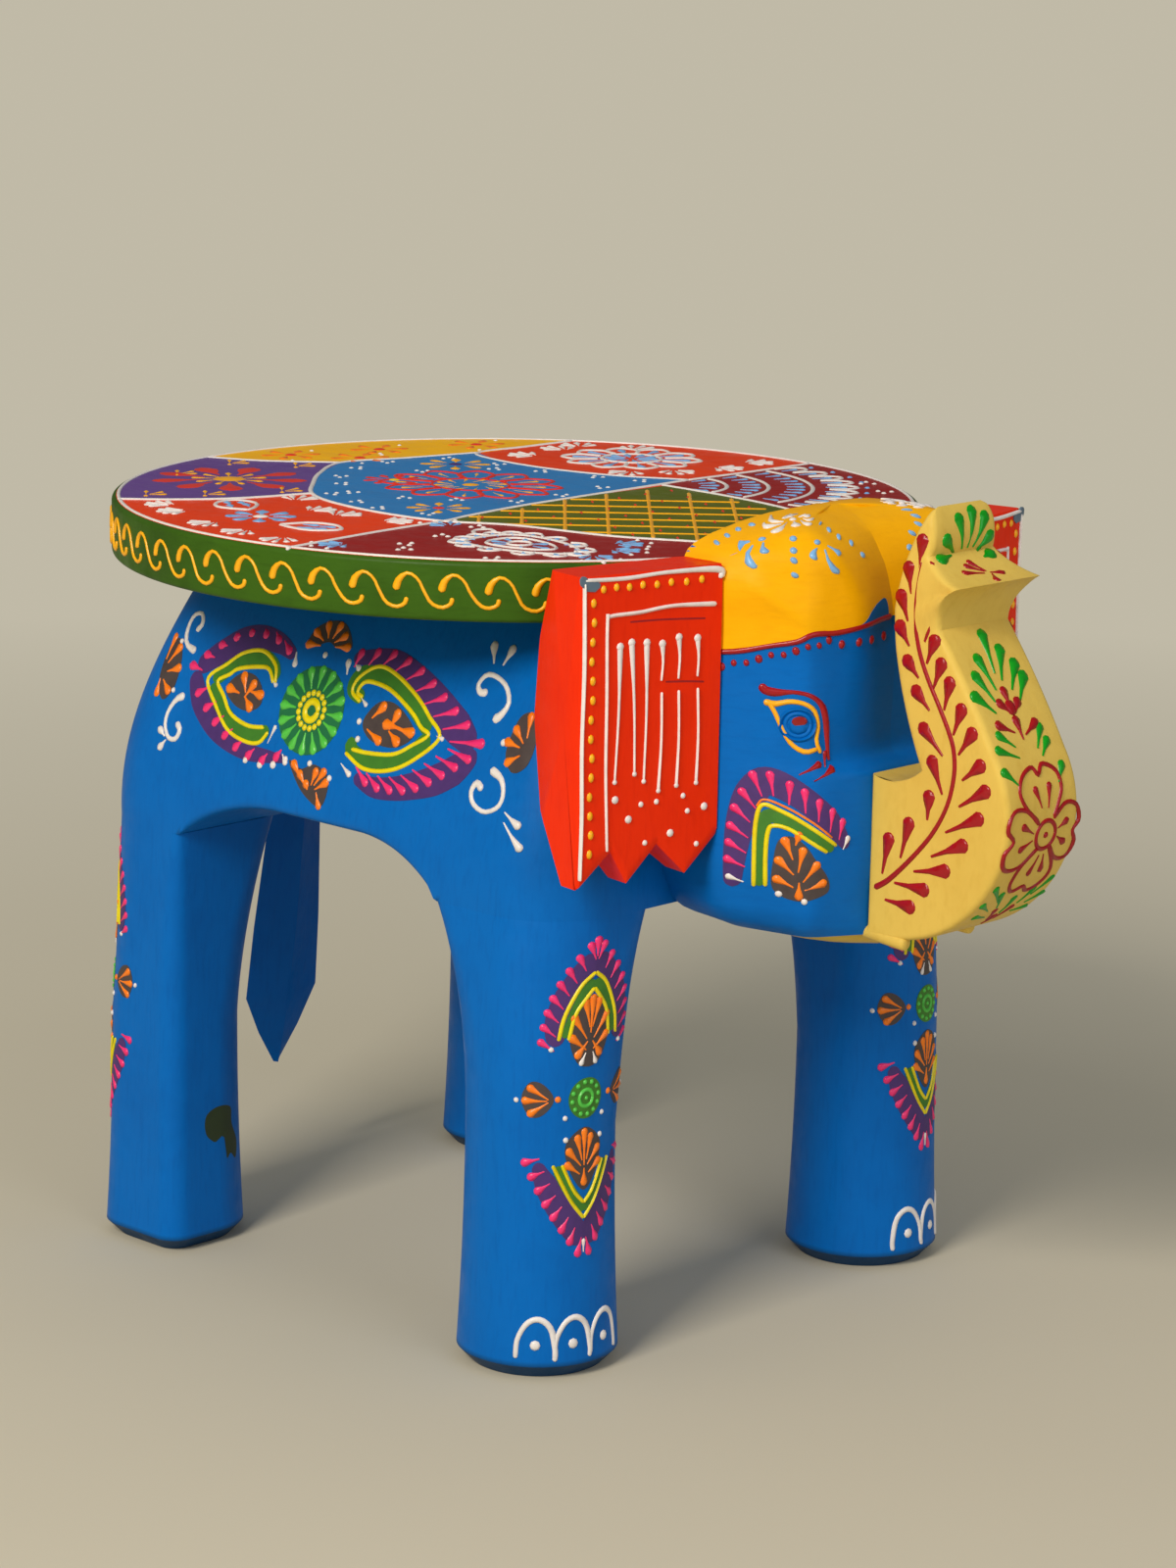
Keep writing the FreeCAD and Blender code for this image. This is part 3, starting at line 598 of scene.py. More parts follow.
# ---- trunk
def trunk_lines():
    """Front and rear edges of the trunk's side, matched point by point from
    the foot to the tip, as arcs and straight runs."""
    lip, notch, tip = (233.8, 289.6), (216.6, 298.2), (214.5, TRUNK_TOP)
    front = np.concatenate([
        arc((MUZZLE_X, 162.0), (232.0, 169.6), (252.4, 193.0), 21)[:-1],
        arc((252.4, 193.0), (256.4, 213.0), (250.0, 232.5), 21)[:-1],
        arc((250.0, 232.5), (238.0, 252.5), (223.0, 273.5), 17)[:-1],
        arc((223.0, 273.5), (226.2, 283.2), lip, 9)[:-1],
        arc(lip, (225.0, 292.4), notch, 11)[:-1],
        arc(notch, (217.2, 309.0), tip, 13)])
    rear = np.concatenate([
        np.linspace((MUZZLE_X, 162.0), (MUZZLE_X, 205.0), 21)[:-1],
        np.linspace((MUZZLE_X, 205.0), (MUZZLE_X, MUZZLE_TOP), 11)[:-1],
        arc((MUZZLE_X, MUZZLE_TOP), (207.0, 218.4), (216.8, 223.5), 11)[:-1],
        arc((216.8, 223.5), (206.0, 253.0), (201.6, 278.0), 25)[:-1],
        arc((201.6, 278.0), (206.6, 299.0), tip, 23)])
    return front, rear


def trunk_half(z):
    """Half thickness: even up to the shoulder, then narrowing to the tip,
    with the last few millimetres rounded off along a circle."""
    taper = (TRUNK_HALF - TRUNK_TIP_HALF) * np.clip((z - TRUNK_SHOULDER) / (TRUNK_TOP - TRUNK_SHOULDER), 0, 1)
    near_top = np.clip((z - (TRUNK_TOP - TIP_ROUND)) / TIP_ROUND, 0, 1)
    return TRUNK_HALF - taper - TIP_INSET * (1 - np.sqrt(1 - 0.98 * near_top ** 2))


def trunk_shape():
    """Rounded rectangles between the rear and the front edge: one is
    x, z = rear + (front - rear) s, with s and y on the rectangle, and near the
    shelf y grows to the front by a bell curve of the height."""
    front, rear = trunk_lines()
    length = np.linalg.norm(front - rear, axis=1)[:, None]
    half = trunk_half((front[:, 1:] + rear[:, 1:]) / 2)
    radius = np.minimum(TRUNK_EDGE, 0.45 * length)
    turn = np.linspace(0, math.pi / 2, 5)[None, :]
    run = np.linspace(0, 1, 17)[None, 1:-1]
    wide = np.linspace(-1, 1, 9)[None, 1:-1]
    inner = length - 2 * radius
    s = np.concatenate([
        length - radius + radius * np.sin(turn), length + 0 * wide,
        length - radius + radius * np.cos(turn), length - radius - inner * run,
        radius - radius * np.sin(turn), 0 * length + 0 * wide,
        radius - radius * np.cos(turn), radius + inner * run], 1)
    y = np.concatenate([
        -half + radius - radius * np.cos(turn), (half - radius) * wide,
        half - radius + radius * np.sin(turn), half + 0 * run,
        half - radius + radius * np.cos(turn), -(half - radius) * wide,
        -half + radius - radius * np.sin(turn), -half + 0 * run], 1)
    share = s / np.maximum(length, 1e-6)
    shelf = np.exp(-((front[:, 1:] - SHELF_HEIGHT) / SHELF_SPREAD) ** 2)
    y = y * (1 + SHELF_FLARE * shelf * share ** 2)
    flat = rear[:, None] + (front - rear)[:, None] * share[..., None]
    return tube(np.stack([flat[..., 0], y, flat[..., 1]], -1))


# ---- ears, lip, tusks, tail, seat
def ear_point(s, depth, z):
    """A place on the right ear: s in from its outer edge, depth behind its face."""
    inward = np.array([math.sin(EAR_SLANT), math.cos(EAR_SLANT)])
    forward = np.array([inward[1], -inward[0]])
    flat = EAR_CORNER + s[..., None] * inward - depth[..., None] * forward
    return np.concatenate([flat, z[..., None]], -1)


def ear_shape():
    """Loops round the ear, one for each step in from its outer edge: down the
    flat face, back under the zigzag edge, and up the bulging back."""
    zig_s, zig_z = np.array(EAR_ZIGZAG).T
    s = np.unique(np.concatenate([np.linspace(0, EAR_WIDTH, 50), zig_s, [1.0, EAR_WIDTH - 1.0]]))
    low = EAR_BOTTOM + np.interp(s, zig_s, zig_z)
    back_z, back_d = np.array(EAR_BACK).T
    edge = EAR_ROUND * (1 - np.sqrt(1 - np.clip((EAR_ROUND - s) / EAR_ROUND, 0, 1) ** 2))
    down = np.linspace(0, 1, 40)[None, :]
    front_z = blend(EAR_TOP, low[:, None], down)
    front_d = 0 * front_z + edge[:, None] + EAR_CHAMFER * ((down == 1) | (down == 0))
    up_z = blend(low[:, None], EAR_TOP, np.linspace(0, 1, 28)[None, :])
    up_d = np.interp(up_z, back_z, back_d) - edge[:, None]
    under = np.linspace(0, 1, 8)[None, 1:-1]
    under_z = low[:, None] + 0 * under
    under_d = blend(0, np.interp(low, back_z, back_d)[:, None], under)
    over_z = EAR_TOP + 0 * under + 0 * low[:, None]
    over_d = blend(back_d[-1], 0, under) + 0 * low[:, None]
    z = np.concatenate([front_z, under_z, up_z, over_z], 1)
    depth = np.concatenate([front_d, under_d, up_d, over_d], 1)
    points = ear_point(np.broadcast_to(s[:, None], z.shape), depth, z)
    rim = SEAT_RADIUS + RIM_GAP
    behind = np.sqrt(np.maximum(rim ** 2 - points[..., 1] ** 2, 0))
    above = z > SEAT_UNDER - 0.2
    points[..., 0] = np.where(above, np.maximum(points[..., 0], behind), points[..., 0])
    return tube(points)


def lip_shape():
    """The leaf-shaped lower lip: half width along its length as an arch that
    is blunt at the front, over a smaller underside, its rim turned up."""
    tip, top, length = MUZZLE_X + 1, 161.0, 46.0
    back = np.array([0.0, 0.2, 0.35, 0.6, 0.76, 0.9, 1.0])
    half = np.array([10.0, 19.0, 24.0, 28.0, 29.0, 21.0, 2.0])
    way = np.linspace(0, 1, 40)
    x, w = tip - way * length, np.interp(way, back, half)
    x, w = np.concatenate([x, x[::-1]]), np.concatenate([-w, w[::-1]])
    middle = tip - length / 2
    rings = []
    for size, z in ((0.2, top + 0.3), (0.94, top + 0.3), (0.965, top + 1.3), (1.0, top + 1.1),
                    (0.99, top - 1.6), (0.92, top - 4.0), (0.78, top - 5.8), (0.2, top - 5.8)):
        rings.append(np.stack([blend(middle, x, size), w * size, np.full(len(x), z)], 1))
    return tube(np.array(rings))


def turned(radii, places, axis_start, axis_end):
    """A turned shape: rings of the given radii at shares of an axis."""
    start, end = np.array(axis_start, float), np.array(axis_end, float)
    way = (end - start) / np.linalg.norm(end - start)
    side = np.cross(way, [0, 0, 1.0])
    side /= np.linalg.norm(side)
    other = np.cross(way, side)
    angle = np.linspace(0, math.tau, 25)[:-1]
    ring = np.cos(angle)[:, None] * side + np.sin(angle)[:, None] * other
    centres = start + (end - start) * np.array(places)[:, None]
    return tube(centres[:, None] + ring[None] * np.array(radii)[:, None, None])


def tail_shape():
    """A leaf with a ridge down each face: the half width and thickness run
    through their values at six heights, and the whole hangs at a lean."""
    top, lean = 205.0, math.radians(6.0)
    heights = np.array([40.5, 55.0, 71.0, 101.0, 150.0, 205.0])
    half = np.array([1.2, 10.8, 19.0, 17.7, 13.7, 7.6])
    thick = np.array([1.6, 3.4, 4.8, 6.0, 6.0, 4.8])
    z = np.concatenate([np.linspace(40.5, 71, 16)[:-1], np.linspace(71, top, 40)])
    w, t = np.interp(z, heights, half), np.interp(z, heights, thick)
    angle = np.linspace(0, math.tau, 33)[:-1]
    ring_y = 2 / math.pi * np.arcsin(np.sin(angle))
    ring_x = -2 / math.pi * np.arcsin(np.cos(angle))
    x = ring_x[None] * t[:, None]
    y = ring_y[None] * w[:, None]
    rear = body_limits(np.array(top - 8))[0] - 2.4         # hangs this far off the rump
    fall = z - top
    points = np.stack([rear + x * math.cos(lean) + fall[:, None] * math.sin(lean), y,
                       top - x * math.sin(lean) + fall[:, None] * math.cos(lean)], -1)
    return tube(points)


def seat_shape():
    """The board: its section turned round the middle.  The rims are quarter
    circles, and the edge wanders inward by up to 0.2 mm."""
    around = np.linspace(0, math.tau, 361)[:-1]
    turn = np.linspace(0, math.pi / 2, 6)
    r, e = SEAT_RADIUS, SEAT_EDGE
    radius = np.concatenate([[r * 0.3, r * 0.6, r * 0.85], r - e + e * np.sin(turn),
                             r - e + e * np.cos(turn), [r * 0.85, r * 0.6, r * 0.3]])
    z = np.concatenate([[SEAT_TOP] * 3, SEAT_TOP - e + e * np.cos(turn),
                        SEAT_UNDER + e - e * np.sin(turn), [SEAT_UNDER] * 3])
    sway = 1 - 0.0007 * (1 + np.sin(5 * around) * np.cos(3 * around))
    flat = radius[:, None] * sway
    return tube(np.stack([flat * np.cos(around), flat * np.sin(around),
                          np.broadcast_to(z[:, None], flat.shape)], -1))


# ---- painted decoration
PAINT = {
    "white": relief("chalk_white", "#ECE6E2", "#CFC9C8"),
    "pink": relief("rose_pink", "#F5307A", "#D81E60"),
    "orange": relief("orange", "#FF8412", "#E8640A"),
    "yellow": relief("lemon_yellow", "#EFDC00", "#D2B800"),
    "gold": relief("chrome_yellow", "#FFB60A", "#E89A00"),
    "lime": relief("light_green", "#56C84A", "#3CA83A"),
    "leaf": relief("leaf_green", "#009A12", "#007A10"),
    "maroon": relief("maroon", "#A30512", "#86000E"),
    "sky": relief("sky_blue", "#7DB4E6", "#5C93D6"),
    "scarlet": relief("scarlet", "#E8301C", "#C81E14"),
    "navy": relief("grey_blue", "#5F7486", "#4A5E72"),
    "purple": relief("purple_ground", "#4A2A72", "#3A2060", 0.5),
    "green": relief("grass_green_ground", "#3B7E1E", "#2C6A1C", 0.5),
    "dark": relief("charcoal_ground", "#4A3F3E", "#382E30", 0.5),
    "pine": relief("pine_green_ground", "#127040", "#0C5A38", 0.5),
    "stain": relief("dark_green_smear", "#2A3A1A", "#1E3018", 0.6),
    "lid": GROUND["face_blue"],
    "pupil": relief("dark_red", "#8E1414", "#5E1414"),
    "seat_red": brushed_paint("orange_red_acrylic_on_seat", "#F04000", "#D63400", (6, 1, 1), 0.38),
    "seat_maroon": brushed_paint("maroon_acrylic_on_seat", "#9E1E1C", "#861414", (6, 1, 1), 0.38),
    "seat_olive": brushed_paint("olive_acrylic_on_seat", "#5F6A14", "#4C5A10", (6, 1, 1), 0.38),
    "seat_yellow": brushed_paint("yellow_acrylic_on_seat", "#FFBE00", "#F0A600", (6, 1, 1), 0.38),
    "seat_purple": brushed_paint("purple_acrylic_on_seat", "#6A4A94", "#583A84", (6, 1, 1), 0.38),
    "seat_blue": brushed_paint("sky_blue_acrylic_on_seat", "#2E80C4", "#226CB0", (6, 1, 1), 0.38),
}


def lifted(surface, u, v, height):
    """Points raised from a surface along its normal, which is the cross
    product of the surface's slopes in u and v."""
    step = 0.05
    along = surface(u + step, v) - surface(u - step, v)
    across = surface(u, v + step) - surface(u, v - step)
    normal = np.cross(along, across)
    normal /= np.maximum(np.linalg.norm(normal, axis=-1, keepdims=True), 1e-9)
    return surface(u, v) + normal * np.asarray(height)[..., None]


# heights in millimetres
SINK = 0.5                     # how far paint reaches into the wood
BASE = 0.16                    # a coat of ground paint
RELIEF = 0.55                  # height of squeezed-on paint above its base
RIM_LINE = 149.6               # radius of the white line round the seat
FIELD_LIMIT = SEAT_RADIUS - 2.2            # how far out the seat's fields reach


def strip(surface, line, side, half, dome):
    """A closed strip of paint along a line: the dome's heights across it, and
    a point sunk into the wood under each edge."""
    across = np.linspace(-1, 1, dome.shape[1])
    uv = line[:, None] + side * (half[:, None] * across)[..., None]
    uv = np.concatenate([uv, uv[:, [-1, 0]]], 1)
    height = np.concatenate([dome, np.full((len(line), 2), -SINK)], 1)
    return tube(lifted(surface, uv[..., 0], uv[..., 1], height))


def lengths_along(line):
    """The length run along a line of points up to each of them."""
    return np.concatenate([[0], np.cumsum(np.linalg.norm(np.diff(line, axis=0), axis=1))])


def ribbon(surface, path, widths, rise=RELIEF, base=BASE, columns=3, steps=0):
    """A stroke: across it the height is base + rise (1 - s^2), and its half
    width runs through the widths along it, closed round at both ends."""
    path = np.array(path, float)
    line = smooth_path(path, steps or int(max(5, lengths_along(path)[-1] / 1.7)))
    run = lengths_along(line)
    end = min(widths[0], 0.3 * run[-1]), min(widths[-1], 0.3 * run[-1])
    extra = [0.25 * end[0], 0.6 * end[0], run[-1] - 0.6 * end[1], run[-1] - 0.25 * end[1]]
    place = np.unique(np.concatenate([run, extra]))
    line = np.stack([np.interp(place, run, line[:, k]) for k in (0, 1)], 1)
    half = np.interp(place / run[-1], np.linspace(0, 1, len(widths)), widths)
    for gap, tip in ((place, end[0]), (run[-1] - place, end[1])):
        half = half * np.sqrt(np.clip(1 - (1 - gap / tip).clip(0, 1) ** 2, 0.03, 1))
    tangent = np.gradient(line, place, axis=0)
    tangent /= np.linalg.norm(tangent, axis=1, keepdims=True)
    side = np.stack([-tangent[:, 1], tangent[:, 0]], 1)
    fullness = np.minimum(1, half / half.max() + 0.25)[:, None]
    dome = base + rise * (1 - np.linspace(-1, 1, columns) ** 2) * fullness
    return strip(surface, line, side[:, None], half, dome)


def drop(surface, head, tail, radius):
    """A tear drop of paint: a round head drawn out to a thin tail, lower
    where it is narrow."""
    head, tail = np.array(head, float), np.array(tail, float)
    length = np.linalg.norm(tail - head)
    way = (tail - head) / length
    neck = 0.6 * radius
    s = np.array([-radius, -0.72 * radius, -0.15 * radius, neck, blend(neck, length, 0.45), length])
    share = np.array([0.22, 0.72, 1.0, 0.8, 0.34, 0.16])
    dome = BASE + RELIEF * np.array([0, 1, 0]) * share[:, None] ** 0.5
    return strip(surface, head + way * s[:, None], np.array([-way[1], way[0]]), radius * share, dome)


def bead(surface, centre, radius, stretch=1.0):
    """A dot of paint: rings of 8 points at shares of the radius, the height
    falling off as a quarter circle."""
    angle = np.linspace(0, math.tau, 9)[:-1]
    share = np.array([0.05, 0.55, 1.0, 1.0])[:, None]
    u = centre[0] + radius * share * np.cos(angle)
    v = centre[1] + radius * stretch * share * np.sin(angle)
    height = np.array([BASE + RELIEF, BASE + 0.8 * RELIEF, BASE, -SINK])[:, None] + 0 * u
    return tube(lifted(surface, u, v, height))


def field(surface, edge, middle, base, rings):
    """A flat field of paint: rings that shrink from its edge to its middle."""
    share = np.concatenate([np.linspace(0.02, 1, rings), [1.0]])[:, None, None]
    uv = middle + (edge - middle) * share
    height = np.concatenate([np.full(rings, base), [-SINK]])[:, None] + 0 * uv[..., 0]
    return tube(lifted(surface, uv[..., 0], uv[..., 1], height))


def patch(surface, outline, base=BASE):
    """A field of paint inside a smooth closed curve through the outline."""
    outline = np.array(outline, float)
    closed = np.concatenate([outline[-1:], outline, outline[:2]])
    edge = smooth_path(closed, (len(closed) - 1) * 12 + 1)[12:-13]
    edge = edge[np.linspace(0, len(edge), 64, endpoint=False).astype(int)]
    return field(surface, edge, edge.mean(0), base, 5)


def direction(angle):
    """The way (u, v) at an angle in degrees."""
    return np.array([math.cos(math.radians(angle)), math.sin(math.radians(angle))])


def turned_by(points, centre, angle):
    """Points (u, v) round a centre, turned by an angle in degrees."""
    c, s = direction(angle)
    return np.array(centre, float) + np.array(points, float) @ [[c, s], [-s, c]]


class Coat:
    """Paint laid on one face of the elephant, gathered colour by colour."""

    def __init__(self, name, surface, slot, both_sides=False):
        self.name, self.surface, self.slot, self.both_sides = name, surface, slot, both_sides
        self.shapes = {}

    def lay(self, colour, shape):
        self.shapes.setdefault(colour, []).append(shape)

    def stroke(self, colour, path, *widths, **how):
        self.lay(colour, ribbon(self.surface, path, widths, **how))

    def band(self, colour, path, *widths, base=BASE):
        self.lay(colour, ribbon(self.surface, path, widths, rise=0.04, base=base, columns=5))

    def drops(self, colour, radius, *pairs):
        for head, tail in pairs:
            self.lay(colour, drop(self.surface, head, tail, radius))

    def beads(self, colour, radius, *centres, stretch=1.0):
        for centre in centres:
            self.lay(colour, bead(self.surface, centre, radius, stretch))

    def patch(self, colour, outline, base=BASE):
        self.lay(colour, patch(self.surface, outline, base))

    def fringe(self, colour, radius, path, count, tail_first, tail_last):
        """Drops with their heads along a path, and tails that turn evenly
        from the first to the last."""
        heads = smooth_path(path, 60)
        run = lengths_along(heads)
        for t in np.linspace(0, 1, count):
            head = [np.interp(t * run[-1], run, heads[:, k]) for k in (0, 1)]
            tail = np.array(head) + blend(np.array(tail_first, float), np.array(tail_last, float), t)
            self.lay(colour, drop(self.surface, head, tail, radius))

    def ring(self, colour, centre, radius, width, stretch=1.0):
        angle = np.linspace(0, math.tau * 1.02, 25)
        path = np.stack([centre[0] + radius * np.cos(angle), centre[1] + radius * stretch * np.sin(angle)], 1)
        self.stroke(colour, path, width, steps=25)

    def rosette(self, centre, radius, petals, stretch):
        """Light drops round a dark disc, and a yellow ring of dots inside."""
        self.patch("pine", [centre + radius * direction(15 * k) * [1, stretch] for k in range(24)])
        for k in range(petals):
            way = direction(360 / petals * k) * [1, stretch]
            self.drops("lime", radius * 0.115, (centre + way * radius * 0.9, centre + way * radius * 0.5))
            dot = direction(360 / petals * k + math.degrees(0.2)) * [1, stretch]
            self.beads("yellow", radius * 0.075, centre + radius * 0.4 * dot)
        self.ring("yellow", centre, radius * 0.2, radius * 0.08)

    def fan(self, root, heads, white, ground):
        """Orange drops that spread from a root over a dark ground."""
        self.patch("dark", ground)
        self.drops("orange", 1.7, *[(head, blend(np.array(head), np.array(root), 0.62)) for head in heads])
        self.beads("white", 1.2, *white)

    def finish(self):
        for colour, shapes in self.shapes.items():
            if self.both_sides:
                shapes = shapes + [mirrored(shape) for shape in shapes]
            piece(f"{self.name}_{colour}", joined(shapes), PAINT[colour], sharp=75)


# ---- the faces that carry paint
def seat_top_face(u, v):
    """u and v are X and Y."""
    return np.stack([u, v, np.full_like(u, SEAT_TOP)], -1)


def seat_edge_face(u, v):
    """u is the length round the edge, v the height."""
    angle = u / SEAT_RADIUS
    return np.stack([SEAT_RADIUS * np.cos(angle), SEAT_RADIUS * np.sin(angle), v], -1)


def body_side_face(u, v):
    """The body's right side at X = u and height v, round its corners too."""
    rear, front, half, corner = body_limits(v)
    past = np.clip(np.maximum(rear + corner - u, u - front + corner), 0, corner * 0.995)
    return np.stack([u, -(half - corner + np.sqrt(corner ** 2 - past ** 2)), v], -1)


LEG_STEP = 0.5                 # mm of leg face for each degree round it


def leg_face(leg):
    """u is the angle round the leg times LEG_STEP, v the height."""
    def face(u, v):
        return leg_surface(leg, np.radians(u / LEG_STEP), v)
    return face


def ear_face(u, v):
    """u is the length in from the ear's outer edge, v the height."""
    return ear_point(u, np.zeros_like(u), v)


def trunk_side_face(u, v):
    """u is X and v the height."""
    return np.stack([u, -trunk_half(v), v], -1)


TIP_MARK = 215.2               # v at the trunk's tip


def trunk_front_face(u, v):
    """u across, v = TIP_MARK less the length along the front edge from the tip."""
    front = trunk_lines()[0][::-1]
    run = lengths_along(front)
    along = TIP_MARK - v
    return np.stack([np.interp(along, run, front[:, 0]), u, np.interp(along, run, front[:, 1])], -1)


EAR_COLUMN, RIDGE_COLUMN, FRONT_COLUMN = 17, 31, 49      # of the head's net
BROW = 272.0


def head_lengths(net):
    """Lengths round the head at the brow, from the corner at the ear, and the
    heights up it, which above the brow are lengths up the surface."""
    brow = int(np.searchsorted(net[:, 0, 2], BROW))
    run = lengths_along(net[brow])
    steps = np.linalg.norm(np.diff(net[brow:], axis=0), axis=2)
    lengths = np.concatenate([net[:brow + 1, :, 2], net[brow, :, 2] + np.cumsum(steps, 0)])
    return run - run[EAR_COLUMN], lengths


def head_face_of(net):
    """u is the length round the head at the brow from the ear's edge towards
    the front, v the height, and above the brow the length up the head."""
    run, lengths = head_lengths(net)

    def face(u, v):
        column = np.interp(u, run, np.arange(len(run)))
        c0 = np.minimum(column.astype(int), net.shape[1] - 2)
        share = (column - c0)[..., None]
        profile = blend(lengths.T[c0], lengths.T[c0 + 1], share)
        row = np.clip((profile <= v[..., None]).sum(-1) - 1, 0, len(net) - 2)
        low = np.take_along_axis(profile, row[..., None], -1)[..., 0]
        high = np.take_along_axis(profile, row[..., None] + 1, -1)[..., 0]
        t = np.clip((v - low) / np.maximum(high - low, 1e-6), 0, 1)[..., None]
        lower = blend(net[row, c0], net[row, c0 + 1], share)
        upper = blend(net[row + 1, c0], net[row + 1, c0 + 1], share)
        return blend(lower, upper, t)
    return face


# ---- the body's sides
def paint_body_side():
    """Two pointed leaves with a rosette between them, fans and scrolls."""
    coat = Coat("body_side", body_side_face, "blue_paint", both_sides=True)
    # the long leaf towards the ear
    coat.band("purple", [(9, 242), (20, 243.5), (30, 243.5), (41, 240), (52, 235.5), (62, 230.5),
        (72, 225.5), (80, 221)], 2, 3.2, 4.2, 5, 5.5, 6, 6, 4)
    coat.band("purple", [(82, 220), (76, 214), (66, 208), (55, 204), (45, 201.5), (35, 200.5),
        (25, 202.5)], 3, 5.5, 5.5, 4.8, 4.2, 3.6, 2)
    coat.fringe("pink", 1.75, [(12, 244), (28, 246), (44, 242.5), (58, 236), (74, 228)], 9, (-1.5, -5),
        (-11, -3))
    coat.drops("pink", 1.9, ((83, 223), (68, 221.5)))
    coat.fringe("pink", 1.75, [(79, 217), (66, 208.5), (54, 202.5), (40, 200.5), (31, 201.5)], 9,
        (-11, 2), (-6, 4.5))
    coat.drops("white", 1.2, ((13, 239), (11, 240)), ((22, 203), (17, 206)))
    coat.band("green", [(20, 229), (13, 232), (15, 237), (22, 238.5), (33, 236.5), (45, 231),
        (57, 223.5)], 2.6, 3.1, 3.2)
    coat.band("green", [(58, 221.5), (50, 214), (40, 210), (29, 209), (20, 212), (22, 215)], 3.3, 3.1, 2.6)
    for grow in (0.0, 5.6):
        g = grow * 0.5
        coat.stroke("yellow", [(19 + g * 0.2, 228 + g * 0.6), (13.4 + g, 231), (15 + g, 236.3 - g * 0.6),
            (23, 241 - grow), (33, 239.4 - grow), (46, 233.8 - grow), (55 - g, 228 - grow * 0.7),
            (62.5 - grow, 222), (53 - g, 213 + grow * 0.8), (42, 207.5 + grow), (29, 206 + grow),
            (18 + g, 210 + g * 0.6)], 0.8)
    coat.drops("white", 0.9, ((64, 221.8), (61, 222.3)), ((22, 227.5), (18, 230)))
    coat.patch("dark", [(23, 222), (28, 229), (36, 230), (45, 226), (50, 221), (44, 216), (35, 215),
        (27, 217)])
    coat.drops("orange", 2.0, ((31, 228), (27, 223.5)), ((39, 226.5), (37, 221)),
        ((48, 221.5), (40, 222)), ((42, 217.5), (37, 220.5)), ((35, 222.5), (44, 222)))
    coat.drops("orange", 1.8, ((33, 216.5), (26, 219.5)))
    coat.beads("white", 1.2, (21, 221.5), (22.5, 215.5))
    # the rounder leaf towards the tail
    coat.band("purple", [(-21, 238.5), (-30, 241.5), (-40, 242.5), (-50, 240.5), (-60, 234.5),
        (-70, 227.5)], 2, 3.6, 4.4, 4.6, 4.6, 3.5)
    coat.band("purple", [(-71, 226), (-64, 216.5), (-54, 209), (-44, 205), (-33, 202.5), (-21, 202.5),
        (-11, 203)], 3, 4.4, 4.3, 4, 3.2, 2.4, 1.2)
    coat.fringe("pink", 1.75, [(-25, 240), (-33, 243), (-47, 243.5), (-61, 237), (-73, 228)], 8, (-4, 3),
        (6, -1))
    coat.fringe("pink", 1.8, [(-66, 219), (-53, 210), (-39, 203), (-25, 200.5), (-17, 203)], 8, (5, 3),
        (2, 3))
    coat.drops("white", 1.3, ((-20, 236), (-21, 240)), ((-12, 202), (-14, 204.5)), ((-33, 199.5), (-31, 202)))
    coat.beads("white", 1.5, (-25, 199), (-18, 200))
    coat.band("green", [(-27, 229), (-31, 234), (-40, 236), (-50, 232), (-60, 224.5)], 2.6, 3.1, 3.1)
    coat.band("green", [(-60, 223), (-50, 214.5), (-40, 209), (-30, 208.5), (-24, 212)], 3.1, 3.1, 2.6)
    for grow in (0.0, 5.6):
        g = grow * 0.5
        coat.stroke("yellow", [(-27 - g * 0.4, 228), (-29.5 - g, 234 - g * 0.6), (-38, 238 - grow),
            (-48, 236 - grow), (-55 + g, 231 - grow * 0.6), (-63 + grow, 224.5),
            (-55 + g, 216 + grow * 0.7), (-46, 208.7 + grow), (-36, 206 + grow), (-28, 206.5 + grow),
            (-24 - g, 211 + g * 0.5)], 0.8)
    coat.drops("white", 0.9, ((-26.5, 227.5), (-29, 229)), ((-21, 213), (-23, 207)))
    coat.patch("dark", [(-52, 223), (-46, 229), (-38, 229), (-32, 224), (-32, 219), (-38, 216.5), (-46, 218)])
    coat.drops("orange", 1.9, ((-50, 223), (-44, 222)), ((-44, 228), (-41, 222.5)),
        ((-33, 223), (-39, 223.5)), ((-37, 218), (-41, 221.5)), ((-38, 226), (-41, 221)))
    # the rosette between them, and a fan over and under it
    coat.rosette(np.array([-4.5, 221.5]), 16.5, 16, 0.95)
    coat.fan((-6, 244), [(-16, 243.5), (-14, 248), (-9, 251), (-3, 251.5), (1, 248.5), (4, 245)],
        [(-6, 241)], [(-17, 243), (-15, 249), (-9, 252.5), (-2, 253), (3, 250), (6, 245), (-1, 244),
        (-6, 245.5), (-12, 243.5)])
    coat.drops("white", 1.4, ((7, 240), (8, 236)))
    coat.fan((3, 193), [(-7, 202), (-3, 199), (1, 196), (5, 201), (9, 201.5), (11, 198)], [(1, 203.5),
        (12.5, 200), (-12, 203)], [(-10, 203), (-3, 201), (4, 203.5), (12, 200), (12, 192), (9, 189),
        (3, 191), (-3, 195)])
    coat.drops("orange", 1.5, ((9, 189.5), (7, 194)))
